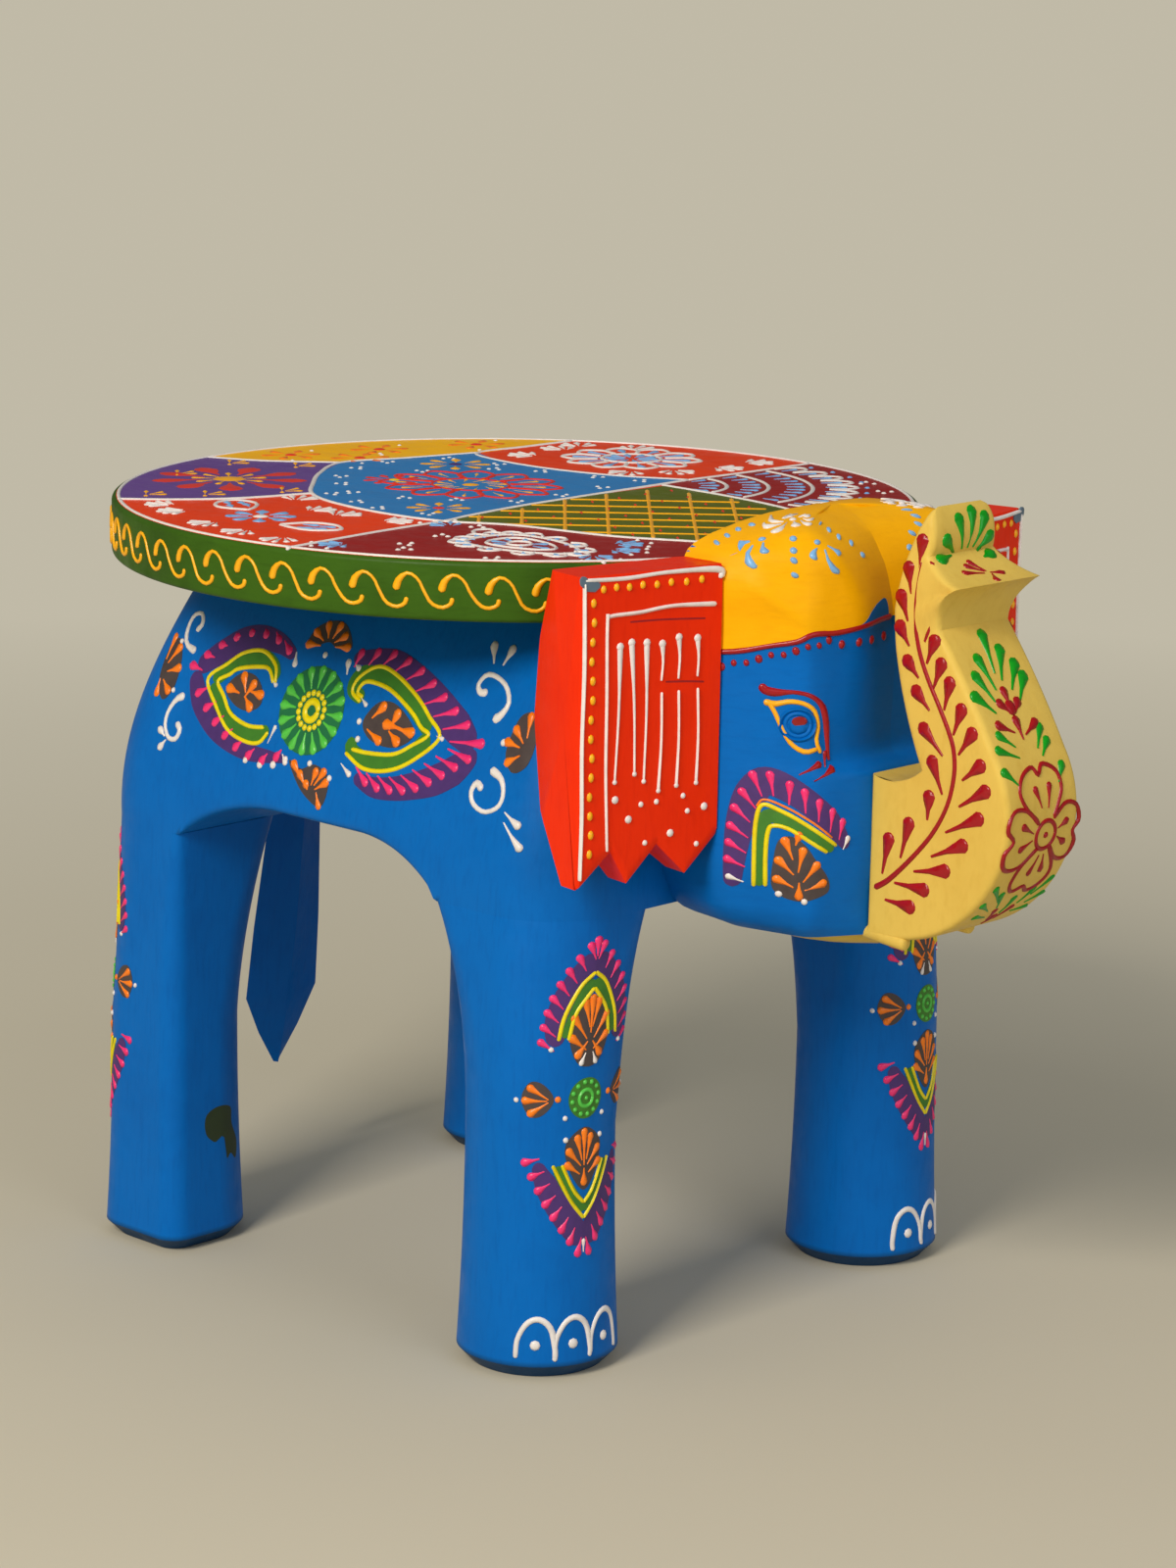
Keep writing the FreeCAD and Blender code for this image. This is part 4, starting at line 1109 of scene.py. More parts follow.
    # white scrolls
    coat.drops("white", 1.8, ((75, 255), (77.5, 249.5)), ((84, 255), (82, 249.5)))
    coat.stroke("white", [(79, 240), (75.5, 239.5), (73.5, 242), (76, 245.5), (81, 245.5), (87, 243),
        (90.5, 238), (88.5, 233.5), (85.5, 231.5)], 1.5, 0.9, 0.9, 0.8, 0.9, 1.1, 1.9)
    coat.stroke("white", [(89, 208), (86, 210), (84, 207), (86, 203), (92, 201), (98, 203.5), (99.5, 208),
        (97, 213), (91, 215.5)], 1.5, 1.0, 0.9, 0.8, 0.9, 1.1, 1.7)
    coat.drops("white", 1.6, ((108.5, 199), (102, 202.5)), ((110.5, 191.5), (102.5, 199)))
    coat.stroke("white", [(-77, 240), (-75, 243), (-77, 246.3), (-81, 245), (-82, 240), (-80, 235),
        (-74, 233)], 1.2, 0.8, 0.8, 0.9, 0.9, 1.6)
    coat.stroke("white", [(-74, 207), (-71.5, 204.5), (-73, 201), (-77, 201), (-80, 205), (-80, 210),
        (-77, 215), (-73, 217)], 1.4, 1.0, 0.9, 0.8, 0.8, 1.0, 1.7)
    coat.drops("white", 1.5, ((-82, 203), (-79, 201)), ((-80.5, 197), (-78, 200)))
    # fans at the rump's corner and behind the ear
    coat.patch("dark", [(-90, 222), (-89, 234), (-84, 236), (-80, 229), (-80, 219), (-85, 214)])
    coat.drops("orange", 1.7, ((-83, 233), (-87, 227)), ((-88, 236), (-89, 228)),
        ((-80.5, 226), (-86, 224)), ((-83, 217.5), (-87, 221)), ((-89, 216), (-89, 221)))
    coat.beads("white", 1.0, (-83, 235.5), (-80, 218))
    coat.patch("dark", [(96, 222), (98, 234), (104, 236), (108, 228), (107, 219), (101, 216)])
    coat.drops("orange", 1.7, ((98, 230), (103, 226)), ((103, 235), (104, 228)), ((98, 219), (103, 222)),
        ((95.5, 225.5), (102, 224.5)))
    coat.beads("white", 1.3, (93.5, 225))
    coat.finish()


# ---- the legs
def paint_leg(name, leg, middle, nails):
    """middle is the angle round the leg, in degrees, that its motifs face."""
    coat = Coat(name, leg_face(leg), "blue_paint", both_sides=True)
    m = middle * LEG_STEP
    for side in (-1, 1):
        def at(du, v):
            return (m + side * du, v)
        coat.band("purple", [at(0, 153.5), at(4.5, 147.5), at(9.5, 138.5), at(12.6, 129), at(13.6, 122)],
            3.2, 4.4, 4.8, 4.8, 2.6)
        coat.fringe("pink", 1.4, [at(2.5, 157), at(8, 150.5), at(13, 142), at(16.5, 132), at(18, 123.5)],
            8, (-2 * side, -5), (-4.5 * side, -3))
        coat.band("green", [at(0, 144.5), at(5, 140), at(8.5, 132), at(10, 125)], 2.4, 2.5, 2.2)
        for grow, reach in ((0, 0), (4.6, 3.6)):
            coat.stroke("yellow", [at(0, 147.5 - grow * 1.2), at(5 - reach * 0.6, 143 - grow),
                at(10 - reach, 133), at(12 - reach, 124)], 0.75)
        coat.beads("white", 1.0, at(14.5, 121))
        coat.drops("orange", 1.6, (at(6.5, 131.5), at(1.5, 124)), (at(7, 124.5), at(1.5, 120)),
            (at(2.8, 137), at(0.5, 128)))
        # the lower chevron
        coat.band("purple", [at(0, 50), at(5.5, 56.5), at(11.4, 65), at(17, 75), at(19, 80)], 4.6, 4.8,
            4.8, 4.4, 2)
        coat.fringe("pink", 1.6, [at(2.5, 46), at(9, 55), at(15, 64), at(20, 73), at(23.5, 80)], 8,
            (-1.5 * side, 5.5), (-5.5 * side, 1.5))
        coat.band("green", [at(0, 61.5), at(6, 69), at(11.5, 78.5)], 2.4, 2.4, 2.2)
        for grow in (0, 5.2):
            coat.stroke("yellow", [at(0, 58.5 + grow * 1.1), at(6 - grow * 0.3, 66 + grow * 0.6),
                at(13 - grow * 0.7, 79)], 0.75)
        coat.drops("orange", 1.6, (at(6.5, 83.5), at(1.5, 78)), (at(3, 88), at(1, 80)),
            (at(7, 78.5), at(2, 75)))
        # small fans at the sides of the rosette
        coat.patch("dark", [at(13, 103), at(17, 108.5), at(22, 109), at(25, 103), at(22, 97), at(17, 97.5)])
        coat.drops("orange", 1.5, (at(21.5, 107), at(15, 103)), (at(23.5, 102.5), at(15.5, 102.5)),
            (at(21.5, 98), at(15, 102)))
        coat.beads("orange", 1.2, at(11.5, 103))
        coat.beads("white", 1.0, at(27, 102.5), at(8.5, 96))
    coat.patch("dark", [(m - 8, 124), (m - 6, 134), (m, 139), (m + 6, 134), (m + 8, 124), (m + 4, 115),
        (m - 4, 115)])
    coat.drops("orange", 1.6, ((m, 138), (m, 126)), ((m - 4.5, 118.5), (m - 1, 123)),
        ((m + 4.5, 118.5), (m + 1, 123)))
    coat.drops("white", 1.1, ((m - 3, 115.5), (m - 1.5, 119)), ((m + 3, 115.5), (m + 1.5, 119)))
    coat.drops("pink", 1.5, ((m, 158.6), (m, 153)))
    heart = np.array([m, 102.5])
    coat.patch("green", [heart + 7.4 * direction(36 * k) for k in range(10)])
    coat.beads("lime", 0.95, *[heart + 5.9 * direction(30 * k + 9) for k in range(12)])
    coat.ring("lime", heart, 3.0, 0.75)
    coat.beads("lime", 0.8, heart)
    coat.patch("dark", [(m - 8, 86), (m, 92), (m + 8, 86), (m + 6, 76), (m, 69), (m - 6, 76)])
    coat.drops("orange", 1.6, ((m, 90), (m, 78)), ((m, 72), (m, 77)))
    coat.beads("white", 1.1, (m - 8, 88), (m + 8, 88))
    coat.drops("white", 1.0, ((m, 50), (m, 46)))
    for nail in nails:
        n = nail * LEG_STEP
        coat.stroke("white", [(n - 7, 8), (n - 6.4, 15), (n - 3, 21), (n + 1.5, 22.5), (n + 5.6, 19),
            (n + 7.2, 11), (n + 7, 7)], 0.9, 0.9, 1.1, 1.1, 0.9)
        coat.beads("white", 1.9, (n, 13))
    coat.finish()


def paint_stain():
    """A smear of the seat edge's green, left on the right rear leg."""
    coat = Coat("stain", leg_face(REAR_LEG), "blue_paint")
    coat.patch("stain", [(-8, 49.5), (-5.5, 53), (2, 54.5), (9.5, 52.5), (10.2, 46), (15, 38), (13, 31.5),
        (8.6, 34.4), (5.5, 33), (5, 40), (1.5, 42.4), (-2, 40.6), (-7, 44)], base=0.06)
    coat.finish()


# ---- ears
def paint_ear():
    """A white edge, yellow dots along the top and the outer edge, white lines
    that thin on their way down, and loose white dots."""
    coat = Coat("ear_face", ear_face, "red_paint", both_sides=True)
    wide = EAR_WIDTH
    coat.stroke("white", [(0.9, 291), (1.4, 262), (0.9, 235), (1.3, 210), (0.9, 188)], 0.6, 0.7, 0.6,
        0.65, 0.6)
    coat.stroke("white", [(1, 292), (18, 291.4), (36, 292), (wide - 2, 291.2), (wide - 0.8, 288)], 0.65,
        0.7, 0.6, 0.8, 1.3)
    coat.band("navy", [(-0.2, 293.4), (1, 291), (4, 289.5), (7, 290.5)], 1.2, 1.9, 1.9, 1.0, base=0.3)
    tops = [(8.6, 288.4), (14, 288.7), (19.4, 288.3), (25, 288.6), (31, 288.2), (37, 288.5),
        (43.5, 288.1), (50, 288.4)]
    coat.beads("gold", 1.15, *tops, stretch=1.25)
    column = [(4.6 + 0.4 * math.sin(1.7 * k), 284 - 6.7 * k) for k in range(14)]
    coat.beads("gold", 1.15, *column, stretch=1.45)
    coat.stroke("white", [(wide - 2.5, 279.3), (38, 280.2), (24, 279.2), (12, 278.9), (10.5, 277),
        (10.8, 250), (10.9, 225), (12, 197)], 0.9, 0.65, 0.7, 0.65, 0.65, 0.65, 0.6, 0.55)
    tips = [(16, 268, 14.7, 221, 0), (20.8, 269, 23, 223, 0), (27.2, 268.4, 27, 220, 0),
        (33.8, 267.4, 33.3, 216, 1), (40.8, 269, 41, 217, 1), (48.8, 268, 49.5, 217, 1)]
    for s0, z0, s1, z1, broken in tips:
        # each line starts at a round blob and thins on its way down
        if broken:
            gap = blend(s0, s1, 0.35)
            runs = [((s0, z0), (gap, 254.5)), ((gap + 0.3, 250.5), (s1, z1))]
        else:
            runs = [((s0, z0), (s1, z1))]
        for number, (start, end) in enumerate(runs):
            middle = (blend(start[0], end[0], 0.5) + 0.5, blend(start[1], end[1], 0.5))
            widths = (1.2, 0.55, 0.45, 0.45) if number == 0 else (0.55, 0.45, 0.5, 0.65)
            coat.stroke("white", [start, middle, end], *widths)
        coat.beads("white", 1.5, (s0, z0))
        coat.beads("white", 0.95, (s1, z1))
    coat.beads("white", 1.45, (15, 214.8), (20.8, 207.3), (38.8, 200.4), (53.2, 208.2))
    coat.beads("white", 1.05, (26, 212), (32.6, 212.2), (46, 207.4), (28, 198.2), (50.2, 195.2), (44, 213))
    # shallow knife cuts left from carving, drawn as thin, nearly flat maroon lines: painted shade of the
    # grooves
    coat.stroke("maroon", [(20, 276.2), (34, 275.8), (52, 274.6)], 0.35, rise=0.02, base=0.03)
    coat.stroke("maroon", [(35.5, 254), (45, 253.2), (52, 252.4)], 0.35, rise=0.02, base=0.03)
    coat.finish()


# ---- trunk
def paint_trunk():
    """A stem with drops on either side, and down the front green sprays over
    a big flower."""
    coat = Coat("trunk_side", trunk_side_face, "cream_paint", both_sides=True)
    coat.stroke("maroon", [(198.5, 178.8), (205, 183), (215, 192.5), (224, 203), (230, 214), (232.4, 225),
        (231.8, 233), (229.5, 239), (225, 247), (219, 257), (215, 266), (212.6, 277), (212.4, 287),
        (213.6, 296)], 1.1, 0.9, 0.85, 0.8, 0.9, 0.95, 0.9, 0.9, 0.8, 0.7)
    left = [((213, 303), (212.6, 293)), ((208, 293), (210, 284.5)), ((205.7, 283), (209.5, 275)),
        ((206.3, 272.5), (210.6, 266.5)), ((210.3, 261), (215.2, 256)), ((214.6, 251), (220.5, 245.4)),
        ((218.4, 238.5), (227, 230.5)), ((222.6, 227.5), (227.4, 217)), ((221.6, 215), (221.2, 207)),
        ((213, 204), (209.8, 191.5)), ((204.2, 197), (201.8, 184.5))]
    right = [((217, 294), (214, 287)), ((222, 288), (216.2, 277)), ((221.2, 279.5), (217.4, 269)),
        ((221.6, 269.5), (218.6, 261.5)), ((225, 262), (222, 253.5)), ((229, 256), (227, 246.5)),
        ((234.5, 247.5), (231.4, 238.5)), ((239.5, 240), (234, 232)), ((243.5, 229.5), (236, 223.4)),
        ((246, 221), (235, 214)), ((243.5, 211), (229.5, 204)), ((237, 200.5), (223.5, 194.4)),
        ((229.5, 190.3), (216, 187.8)), ((220.5, 182), (207.5, 182.2)), ((214.5, 174.8), (203.5, 175.4))]
    coat.drops("maroon", 2.7, *left, *right)
    coat.finish()

    coat = Coat("trunk_front", trunk_front_face, "cream_paint")
    coat.drops("leaf", 2.5, ((-13, 196), (-7, 197)), ((-10, 203), (-5, 198)), ((-3, 209.5), (-1, 199)),
        ((4.5, 211.5), (2, 199)), ((10.5, 209), (5, 199)), ((13, 202), (7, 197)), ((12.5, 195), (8, 194)))
    coat.drops("maroon", 1.5, ((-1, 192.5), (2, 187)), ((-8, 188), (0, 186)), ((8, 185), (3, 186)),
        ((1, 181), (3, 185)), ((-4, 191), (1, 187)))
    coat.drops("leaf", 2.5, ((1, 153.5), (-2, 139)), ((-7, 145), (-5, 133)), ((6, 147), (0, 136)),
        ((10, 141), (3, 132)), ((11.5, 136), (5, 128)), ((-12, 139), (-8, 129)),
        ((-16.5, 132), (-10, 125)))
    coat.beads("maroon", 2.6, (-1.5, 126), stretch=1.2)
    coat.drops("maroon", 2.0, ((-1.5, 132), (-1.5, 126)), ((-6, 128), (-2.5, 124)),
        ((3, 127.5), (0, 124)), ((-11, 120.5), (-4.5, 117)), ((7.5, 119), (0.5, 115.5)),
        ((-1.5, 121), (-1.5, 114)))
    coat.drops("leaf", 1.9, ((-16, 112), (-7, 108)), ((10, 112), (5, 107)), ((13, 102.5), (9.5, 97)),
        ((-17, 104), (-12, 99)), ((-13, 117), (-7, 112)), ((9, 117), (4, 110)))
    # the big flower: four lobed petals drawn in outline round a ring
    coat.ring("maroon", (2, 79.5), 5.2, 0.85)
    coat.beads("maroon", 1.2, (2, 79.5))
    petals = [
        [(-3, 85), (-9, 90), (-12, 96), (-9, 101.5), (-3, 104), (-0.5, 101), (3, 104.5), (9, 101.5),
         (10.5, 95.5), (8, 90), (5.5, 85.5)],
        [(-2.5, 84), (-9, 89.5), (-16, 90), (-19, 84), (-15.5, 79.5), (-19, 75), (-16.5, 69), (-9, 68.5),
         (-1.5, 75)],
        [(5.5, 85), (12, 89.5), (18, 88), (20, 82.5), (17, 79), (19.5, 74), (16.5, 68.5), (10.5, 69.5),
         (5.5, 75)],
        [(-1, 75), (-7, 69), (-8.5, 62), (-5, 57), (0.5, 58.5), (4.5, 55.5), (10, 58.5), (11.5, 65), (5, 75)]]
    for petal in petals:
        coat.stroke("maroon", petal, 0.85, 0.8, 0.9, 0.8)
    coat.drops("maroon", 1.45, ((-3.5, 96), (-1, 89.5)), ((4, 96.5), (2.5, 89)), ((-10.5, 84), (-5, 81)),
        ((-10.5, 76), (-5, 78.5)), ((12.5, 83), (8.5, 81)), ((12.5, 75.5), (8.5, 78)),
        ((-0.5, 65), (1, 72)), ((5.5, 65.5), (3.5, 72)))
    coat.drops("leaf", 1.6, ((-15, 60), (-8, 52)), ((-9, 56), (-5, 48)), ((-16, 52), (-9, 47)),
        ((16, 59), (10, 52)), ((9, 55), (6, 48)), ((17, 51), (11, 47)), ((-13, 44), (-6, 42)),
        ((15, 43), (8, 42)), ((1, 52), (1, 43)))
    coat.drops("maroon", 1.3, ((-4, 46), (-1, 38)), ((5, 46), (2.5, 38)), ((0.5, 41), (0.5, 34)))
    coat.finish()


# ---- head
BROW_LINE = [(-30, 275), (-20, 262), (-1, 261.7), (8, 262.6), (18, 264.8), (28, 266.8), (34, 269.3),
    (44, 269.2), (56, 270.4), (66, 271.2), (74, 271.5)]
FOREHEAD_COAT = 0.3
RIDGE = 37.0                   # u at the domes' ridge


def forehead_face(net):
    """On the forehead's coat: u grows by the real length along the level line
    that passes there and is RIDGE at the domes' ridge, and v is as on the
    head."""
    run, lengths = head_lengths(net)
    face = head_face_of(net)
    steps = np.linalg.norm(np.diff(net[:, EAR_COLUMN:FRONT_COLUMN], axis=1), axis=2)
    along = np.concatenate([0 * steps[:, :1], np.cumsum(steps, 1)], 1)

    def raised(u, v):
        row = np.interp(v, lengths[:, RIDGE_COLUMN], np.arange(len(net)))
        low = np.minimum(row.astype(int), len(net) - 2)
        line = blend(along[low], along[low + 1], (row - low)[..., None])
        place = line[..., RIDGE_COLUMN - EAR_COLUMN] + u - RIDGE
        cell = np.clip((line <= place[..., None]).sum(-1) - 1, 0, line.shape[-1] - 2)
        start = np.take_along_axis(line, cell[..., None], -1)[..., 0]
        end = np.take_along_axis(line, cell[..., None] + 1, -1)[..., 0]
        share = (place - start) / np.maximum(end - start, 1e-6)
        at_brow = blend(run[EAR_COLUMN + cell], run[EAR_COLUMN + 1 + cell], share)
        return lifted(face, at_brow, v, FOREHEAD_COAT + 0 * v)
    return raised


def paint_forehead(net):
    """Everything above the brow line, raised by a coat of paint: each column
    of the head's net is cut off at the line and spread evenly to the crown."""
    run, lengths = head_lengths(net)
    middle = run[len(run) // 2]
    line = np.interp(middle - np.abs(run - middle), *np.array(BROW_LINE, float).T)
    rows = lengths[int(np.searchsorted(net[:, 0, 2], 264.0)):]
    share = (rows - rows[0]) / (rows[-1] - rows[0])
    share = np.concatenate([share[:1], share])
    v = line + (rows[-1] - line) * share
    height = np.where(np.arange(len(v)) == 0, -SINK, FOREHEAD_COAT)[:, None] + 0 * v
    coat = tube(lifted(head_face_of(net), run + 0 * v, v, height))
    piece("forehead_coat", coat, GROUND["face_yellow"], sharp=38)


def paint_head(face):
    """The brow line and its dots, the eye, and a leaf on the cheek."""
    coat = Coat("face", face, "head_paint", both_sides=True)
    coat.stroke("maroon", BROW_LINE[2:], 0.9, 1.0, 0.85, 0.95, 1.0, 0.9, 1.0, 1.1, base=0.4)
    for k in range(10):
        u = 1.5 + 4.3 * k
        coat.beads("maroon", 1.05 if k % 3 else 1.35, (u, 256.3 + 0.26 * u + 0.5 * math.sin(2.1 * k)),
            stretch=1.15)
    coat.beads("maroon", 1.5, (46, 264.8), (54, 264.9), (61, 264.9), (69, 265.2), stretch=1.1)
    # brow, and the yellow outline of the eye with its corner
    coat.stroke("maroon", [(15, 251.3), (16.5, 249.3), (20.5, 248.6), (27, 248.9), (32.5, 247.6),
        (37, 244), (39.3, 238), (40, 231), (40.6, 224.5)], 1.5, 1.5, 0.7, 0.7, 0.9, 1.5, 1.7, 1.3, 0.9)
    coat.stroke("gold", [(16, 245.2), (20, 244.6), (25, 245.6), (30, 245), (34, 242.3), (35.6, 237),
        (34.8, 232), (36.5, 227.4)], 1.2, 0.9, 0.8, 0.8, 0.8, 0.8)
    coat.stroke("gold", [(17.5, 245.4), (20, 241.4), (22.4, 236), (25.4, 231), (30, 228.3), (35, 229)],
        0.8, 0.8, 0.75, 0.8, 0.9, 0.8)
    coat.drops("maroon", 1.25, ((35, 223.6), (27, 220.3)), ((40.5, 221.8), (32, 218.2)))
    coat.drops("maroon", 1.1, ((38.6, 227), (37.5, 222.5)))
    # the carved eye: lids round a ball
    for radius, rise in ((6.2, 0.9), (4.6, 0.5)):
        angle = np.linspace(0, math.tau * 1.02, 33)
        lid = np.stack([28 + radius * np.cos(angle), 237.6 + 0.86 * radius * np.sin(angle)], 1)
        coat.stroke("lid", lid, 0.8, rise=rise, base=0.05, steps=33)
    coat.beads("lid", 3.6, (28, 237.4), stretch=0.9)
    coat.stroke("pupil", [(25.9, 238.4), (28.4, 239.1), (31, 238.9)], 1.3, 1.5, 1.2, rise=0.25, base=0.75)
    # cheek leaf: purple band with pink drops, two yellow lines with green between
    coat.band("purple", [(5.8, 179), (6, 190), (8, 203), (12, 214), (17, 217.5), (26, 213.5), (35, 206.5),
        (41, 200.5), (46, 194)], 2.8, 3.8, 4.6, 5.2, 4.8, 4.4, 4.2, 2)
    coat.drops("pink", 1.55, ((12, 219.4), (14.8, 212)), ((17.5, 219.6), (18.4, 212.4)),
        ((23.6, 216.6), (23.2, 209.6)), ((28.6, 214.2), (28.8, 207)), ((33.8, 210.6), (33.4, 204)),
        ((39, 207), (38, 200)), ((43.6, 203), (42, 197)), ((8.6, 213.2), (12.8, 207.6)),
        ((6.2, 207.4), (11, 202.6)), ((4.8, 201), (10.4, 197)), ((4.2, 195), (9.8, 191.6)),
        ((3.8, 189), (9.6, 186.6)))
    coat.drops("white", 1.2, ((4.6, 182.6), (9.4, 181)), ((46, 197), (44, 193.4)))
    coat.band("green", [(14.2, 180), (14.2, 192), (14.8, 201), (16.8, 205.4), (22, 204), (31, 199.4),
        (39.5, 193.6)], 1.6, 2, 2.2, 2.4, 2.3, 2.2, 1.6)
    coat.stroke("yellow", [(12.6, 179.6), (12.3, 192), (12.8, 203), (14.8, 209), (20, 207.6), (30, 202.4),
        (41, 195)], 0.75)
    coat.stroke("orange", [(13, 208.4), (15.4, 211), (21.6, 209), (31, 204), (39, 198)], 0.4, rise=0.3)
    coat.stroke("yellow", [(16.2, 180), (15.9, 191), (16.5, 199.4), (18.4, 202), (24.4, 200.6),
        (37, 193)], 0.75)
    coat.patch("dark", [(18, 181), (18.4, 190), (20, 197), (24, 198.6), (29, 195.6), (33, 190),
        (37.4, 184), (38, 179), (33, 176.6), (27, 175.4), (21, 177)])
    coat.drops("orange", 1.6, ((22, 196.8), (24.6, 190.4)), ((28, 193.6), (26.6, 186)),
        ((33, 188.6), (28.4, 182.6)), ((35.6, 182), (29, 179.6)), ((20.2, 189.8), (25, 185)),
        ((19.8, 183), (25, 180.4)), ((27, 177.4), (27, 182.4)), ((26.5, 199), (25.4, 195.6)))
    coat.beads("white", 1.2, (29, 175.4), (20.4, 177.6))
    coat.finish()


def paint_flowers(net):
    """A flower on each dome of the forehead, a column of dots down from it
    and a spray on either side; and the blue that reaches up by the trunk."""
    raised = forehead_face(net)
    coat = Coat("forehead", raised, "head_paint", both_sides=True)
    flower = np.array([36, 321.5])
    for k in range(8):
        way = direction(45 * k + 12)
        coat.drops("white", 1.8, (flower + way * 7.4, flower + way * 3.4))
    coat.beads("white", 1.3, flower)
    coat.beads("sky", 1.3, (36.6, 304.8), (36, 300), (35.2, 296.4), (32.4, 290.8))
    coat.beads("sky", 1.3, (8.8, 302), (14, 306.8), (18.4, 311.6), (22.8, 316), (50.5, 314.5),
        (53, 309.4), (57.2, 305.2), (64, 301.2), (68.8, 295.6))
    coat.beads("sky", 1.15, (28.4, 310.8), (43.8, 305.4))
    coat.drops("sky", 1.7, ((22.6, 299.8), (26.2, 307.4)), ((48, 293.2), (45.8, 302)))
    coat.drops("sky", 1.3, ((20.6, 304.8), (24.6, 309.4)), ((29.4, 303.6), (29.2, 308.6)),
        ((42.4, 297.8), (43.2, 302.8)), ((52, 300), (47.4, 303.6)))
    coat.patch("lid", [(54, 269.6), (59, 272), (63, 275), (68, 277.4), (73.4, 277.8), (73.8, 270),
        (64, 268.8)], base=0.12)
    coat.finish()


# ---- seat edge
def paint_seat_edge():
    """Yellow hooks that follow each other round the edge like waves."""
    coat = Coat("seat_edge", seat_edge_face, "seat_paint")
    turns = 59
    pitch_length = math.tau * SEAT_RADIUS / turns
    for k in range(turns):
        u = pitch_length * k
        sway = 0.5 * math.sin(2.3 * k)
        z = 281.0 + 0.4 * math.sin(1.3 * k)
        coat.stroke("gold", [(u, z - 0.6), (u + 1.2, z + 3.2), (u + 4.4, z + 5.6), (u + 8.0, z + 3.6),
            (u + 10.2, z - 0.5), (u + 13.0 + sway, z - 4.6), (u + 16.6, z - 5.9 + sway * 0.4),
            (u + 19.6, z - 4.6), (u + 20.2, z - 2.4)], 1.5, 1.2, 0.6, 0.5, 0.55, 0.6, 0.65, 0.7, 0.85)
    coat.finish()


# ---- seat top
# the seat's fields: ground colour and outline
SEGMENTS = [
    ("seat_maroon", [
        (27, -65), (29, -100), (34, -149), (80, -133), (125, -86), (149, -30), (151, -10), (117, -28),
        (90, -42), (50, -52)]),
    ("seat_maroon", [
        (16, 78), (17, 148), (60, 138), (105, 108), (135, 68), (150, 20), (95, 52), (60, 59), (18, 61)]),
    ("seat_olive", [
        (20, 60), (60, 59), (95, 52), (150, 20), (152, -8), (117, -28), (90, -42), (50, -52), (27, -64),
        (22, -30), (18, 10)]),
    ("seat_yellow", [
        (-88, 66), (-88, 120), (-115, 96), (-140, 55), (-150, 8), (-147, -25), (-125, -15), (-103, 5),
        (-96, 32)]),
    ("seat_purple", [
        (-147, -25), (-125, -15), (-103, 5), (-88, -20), (-70, -40), (-52, -57), (-60, -85), (-72, -105),
        (-87, -121), (-112, -100), (-134, -68)]),
    ("seat_blue", [
        (-88, 66), (-70, 58), (-40, 57), (-10, 64), (16, 78), (18, 20), (20, -20), (24, -50), (27, -65),
        (0, -69), (-30, -66), (-52, -57), (-70, -40), (-88, -20), (-103, 5), (-97, 32)])]
BORDERS = [
    [(16, 78), (18, 20), (20, -20), (24, -50), (27, -65), (29, -100), (34, -148)],
    [(16, 78), (17, 112), (17, 148)],
    [(16, 78), (-10, 64), (-40, 57), (-70, 58), (-88, 66), (-88, 92), (-88, 120)],
    [(-88, 66), (-96, 32), (-103, 5), (-88, -20), (-70, -40), (-52, -57), (-30, -66), (0, -69), (27, -65),
     (50, -52), (90, -42), (117, -28), (146, -14)],
    [(-148, -26), (-125, -15), (-103, 5)],
    [(-52, -57), (-60, -85), (-72, -105), (-88, -122)],
    [(18, 61), (60, 59), (95, 52), (122, 38), (148, 22)]]


def seat_run(a, b):
    """A straight run from a to b, or along the rim where both are near it."""
    a, b = np.array(a, float), np.array(b, float)
    line = np.linspace(a, b, 10)[:-1]
    reach = np.linalg.norm(line, axis=1, keepdims=True)
    if min(np.linalg.norm(a), np.linalg.norm(b)) > 0.96 * FIELD_LIMIT:
        return line / reach * FIELD_LIMIT
    return line * np.minimum(1, FIELD_LIMIT / reach)


def seat_patch(outline, base):
    """A field of the seat inside an outline that stays within the rim."""
    edge = np.concatenate([seat_run(a, b) for a, b in zip(outline, outline[1:] + outline[:1])])
    return field(seat_top_face, edge, np.mean(outline, axis=0), base, 6)


def seat_flower(coat, centre, radius, petal, heart, petals=8):
    """Drops with their tails to the middle, round a dot."""
    centre = np.array(centre)
    for k in range(petals):
        way = direction(360 / petals * k) * radius
        coat.drops(petal, radius * 0.2, (centre + way * 0.8, centre + way * 0.35))
    coat.beads(heart, radius * 0.24, centre)


def three_dots(coat, radius, reach, half, turn, places):
    """Clusters of three dots, each turned by its X times the turn."""
    for x, y in places:
        coat.beads("white", radius, *turned_by([(reach, 0), (-reach / 2, half), (-reach / 2, -half)],
            (x, y), turn * x))


def sprays(coat, colour, radius, heads, share, places):
    """Sprays of drops whose tails point to a root beside the middle."""
    for x, y, spin in places:
        root = turned_by([(-3, 0)], (x, y), spin)[0]
        coat.drops(colour, radius, *[(head, blend(head, root, share))
            for head in turned_by(heads, (x, y), spin)])


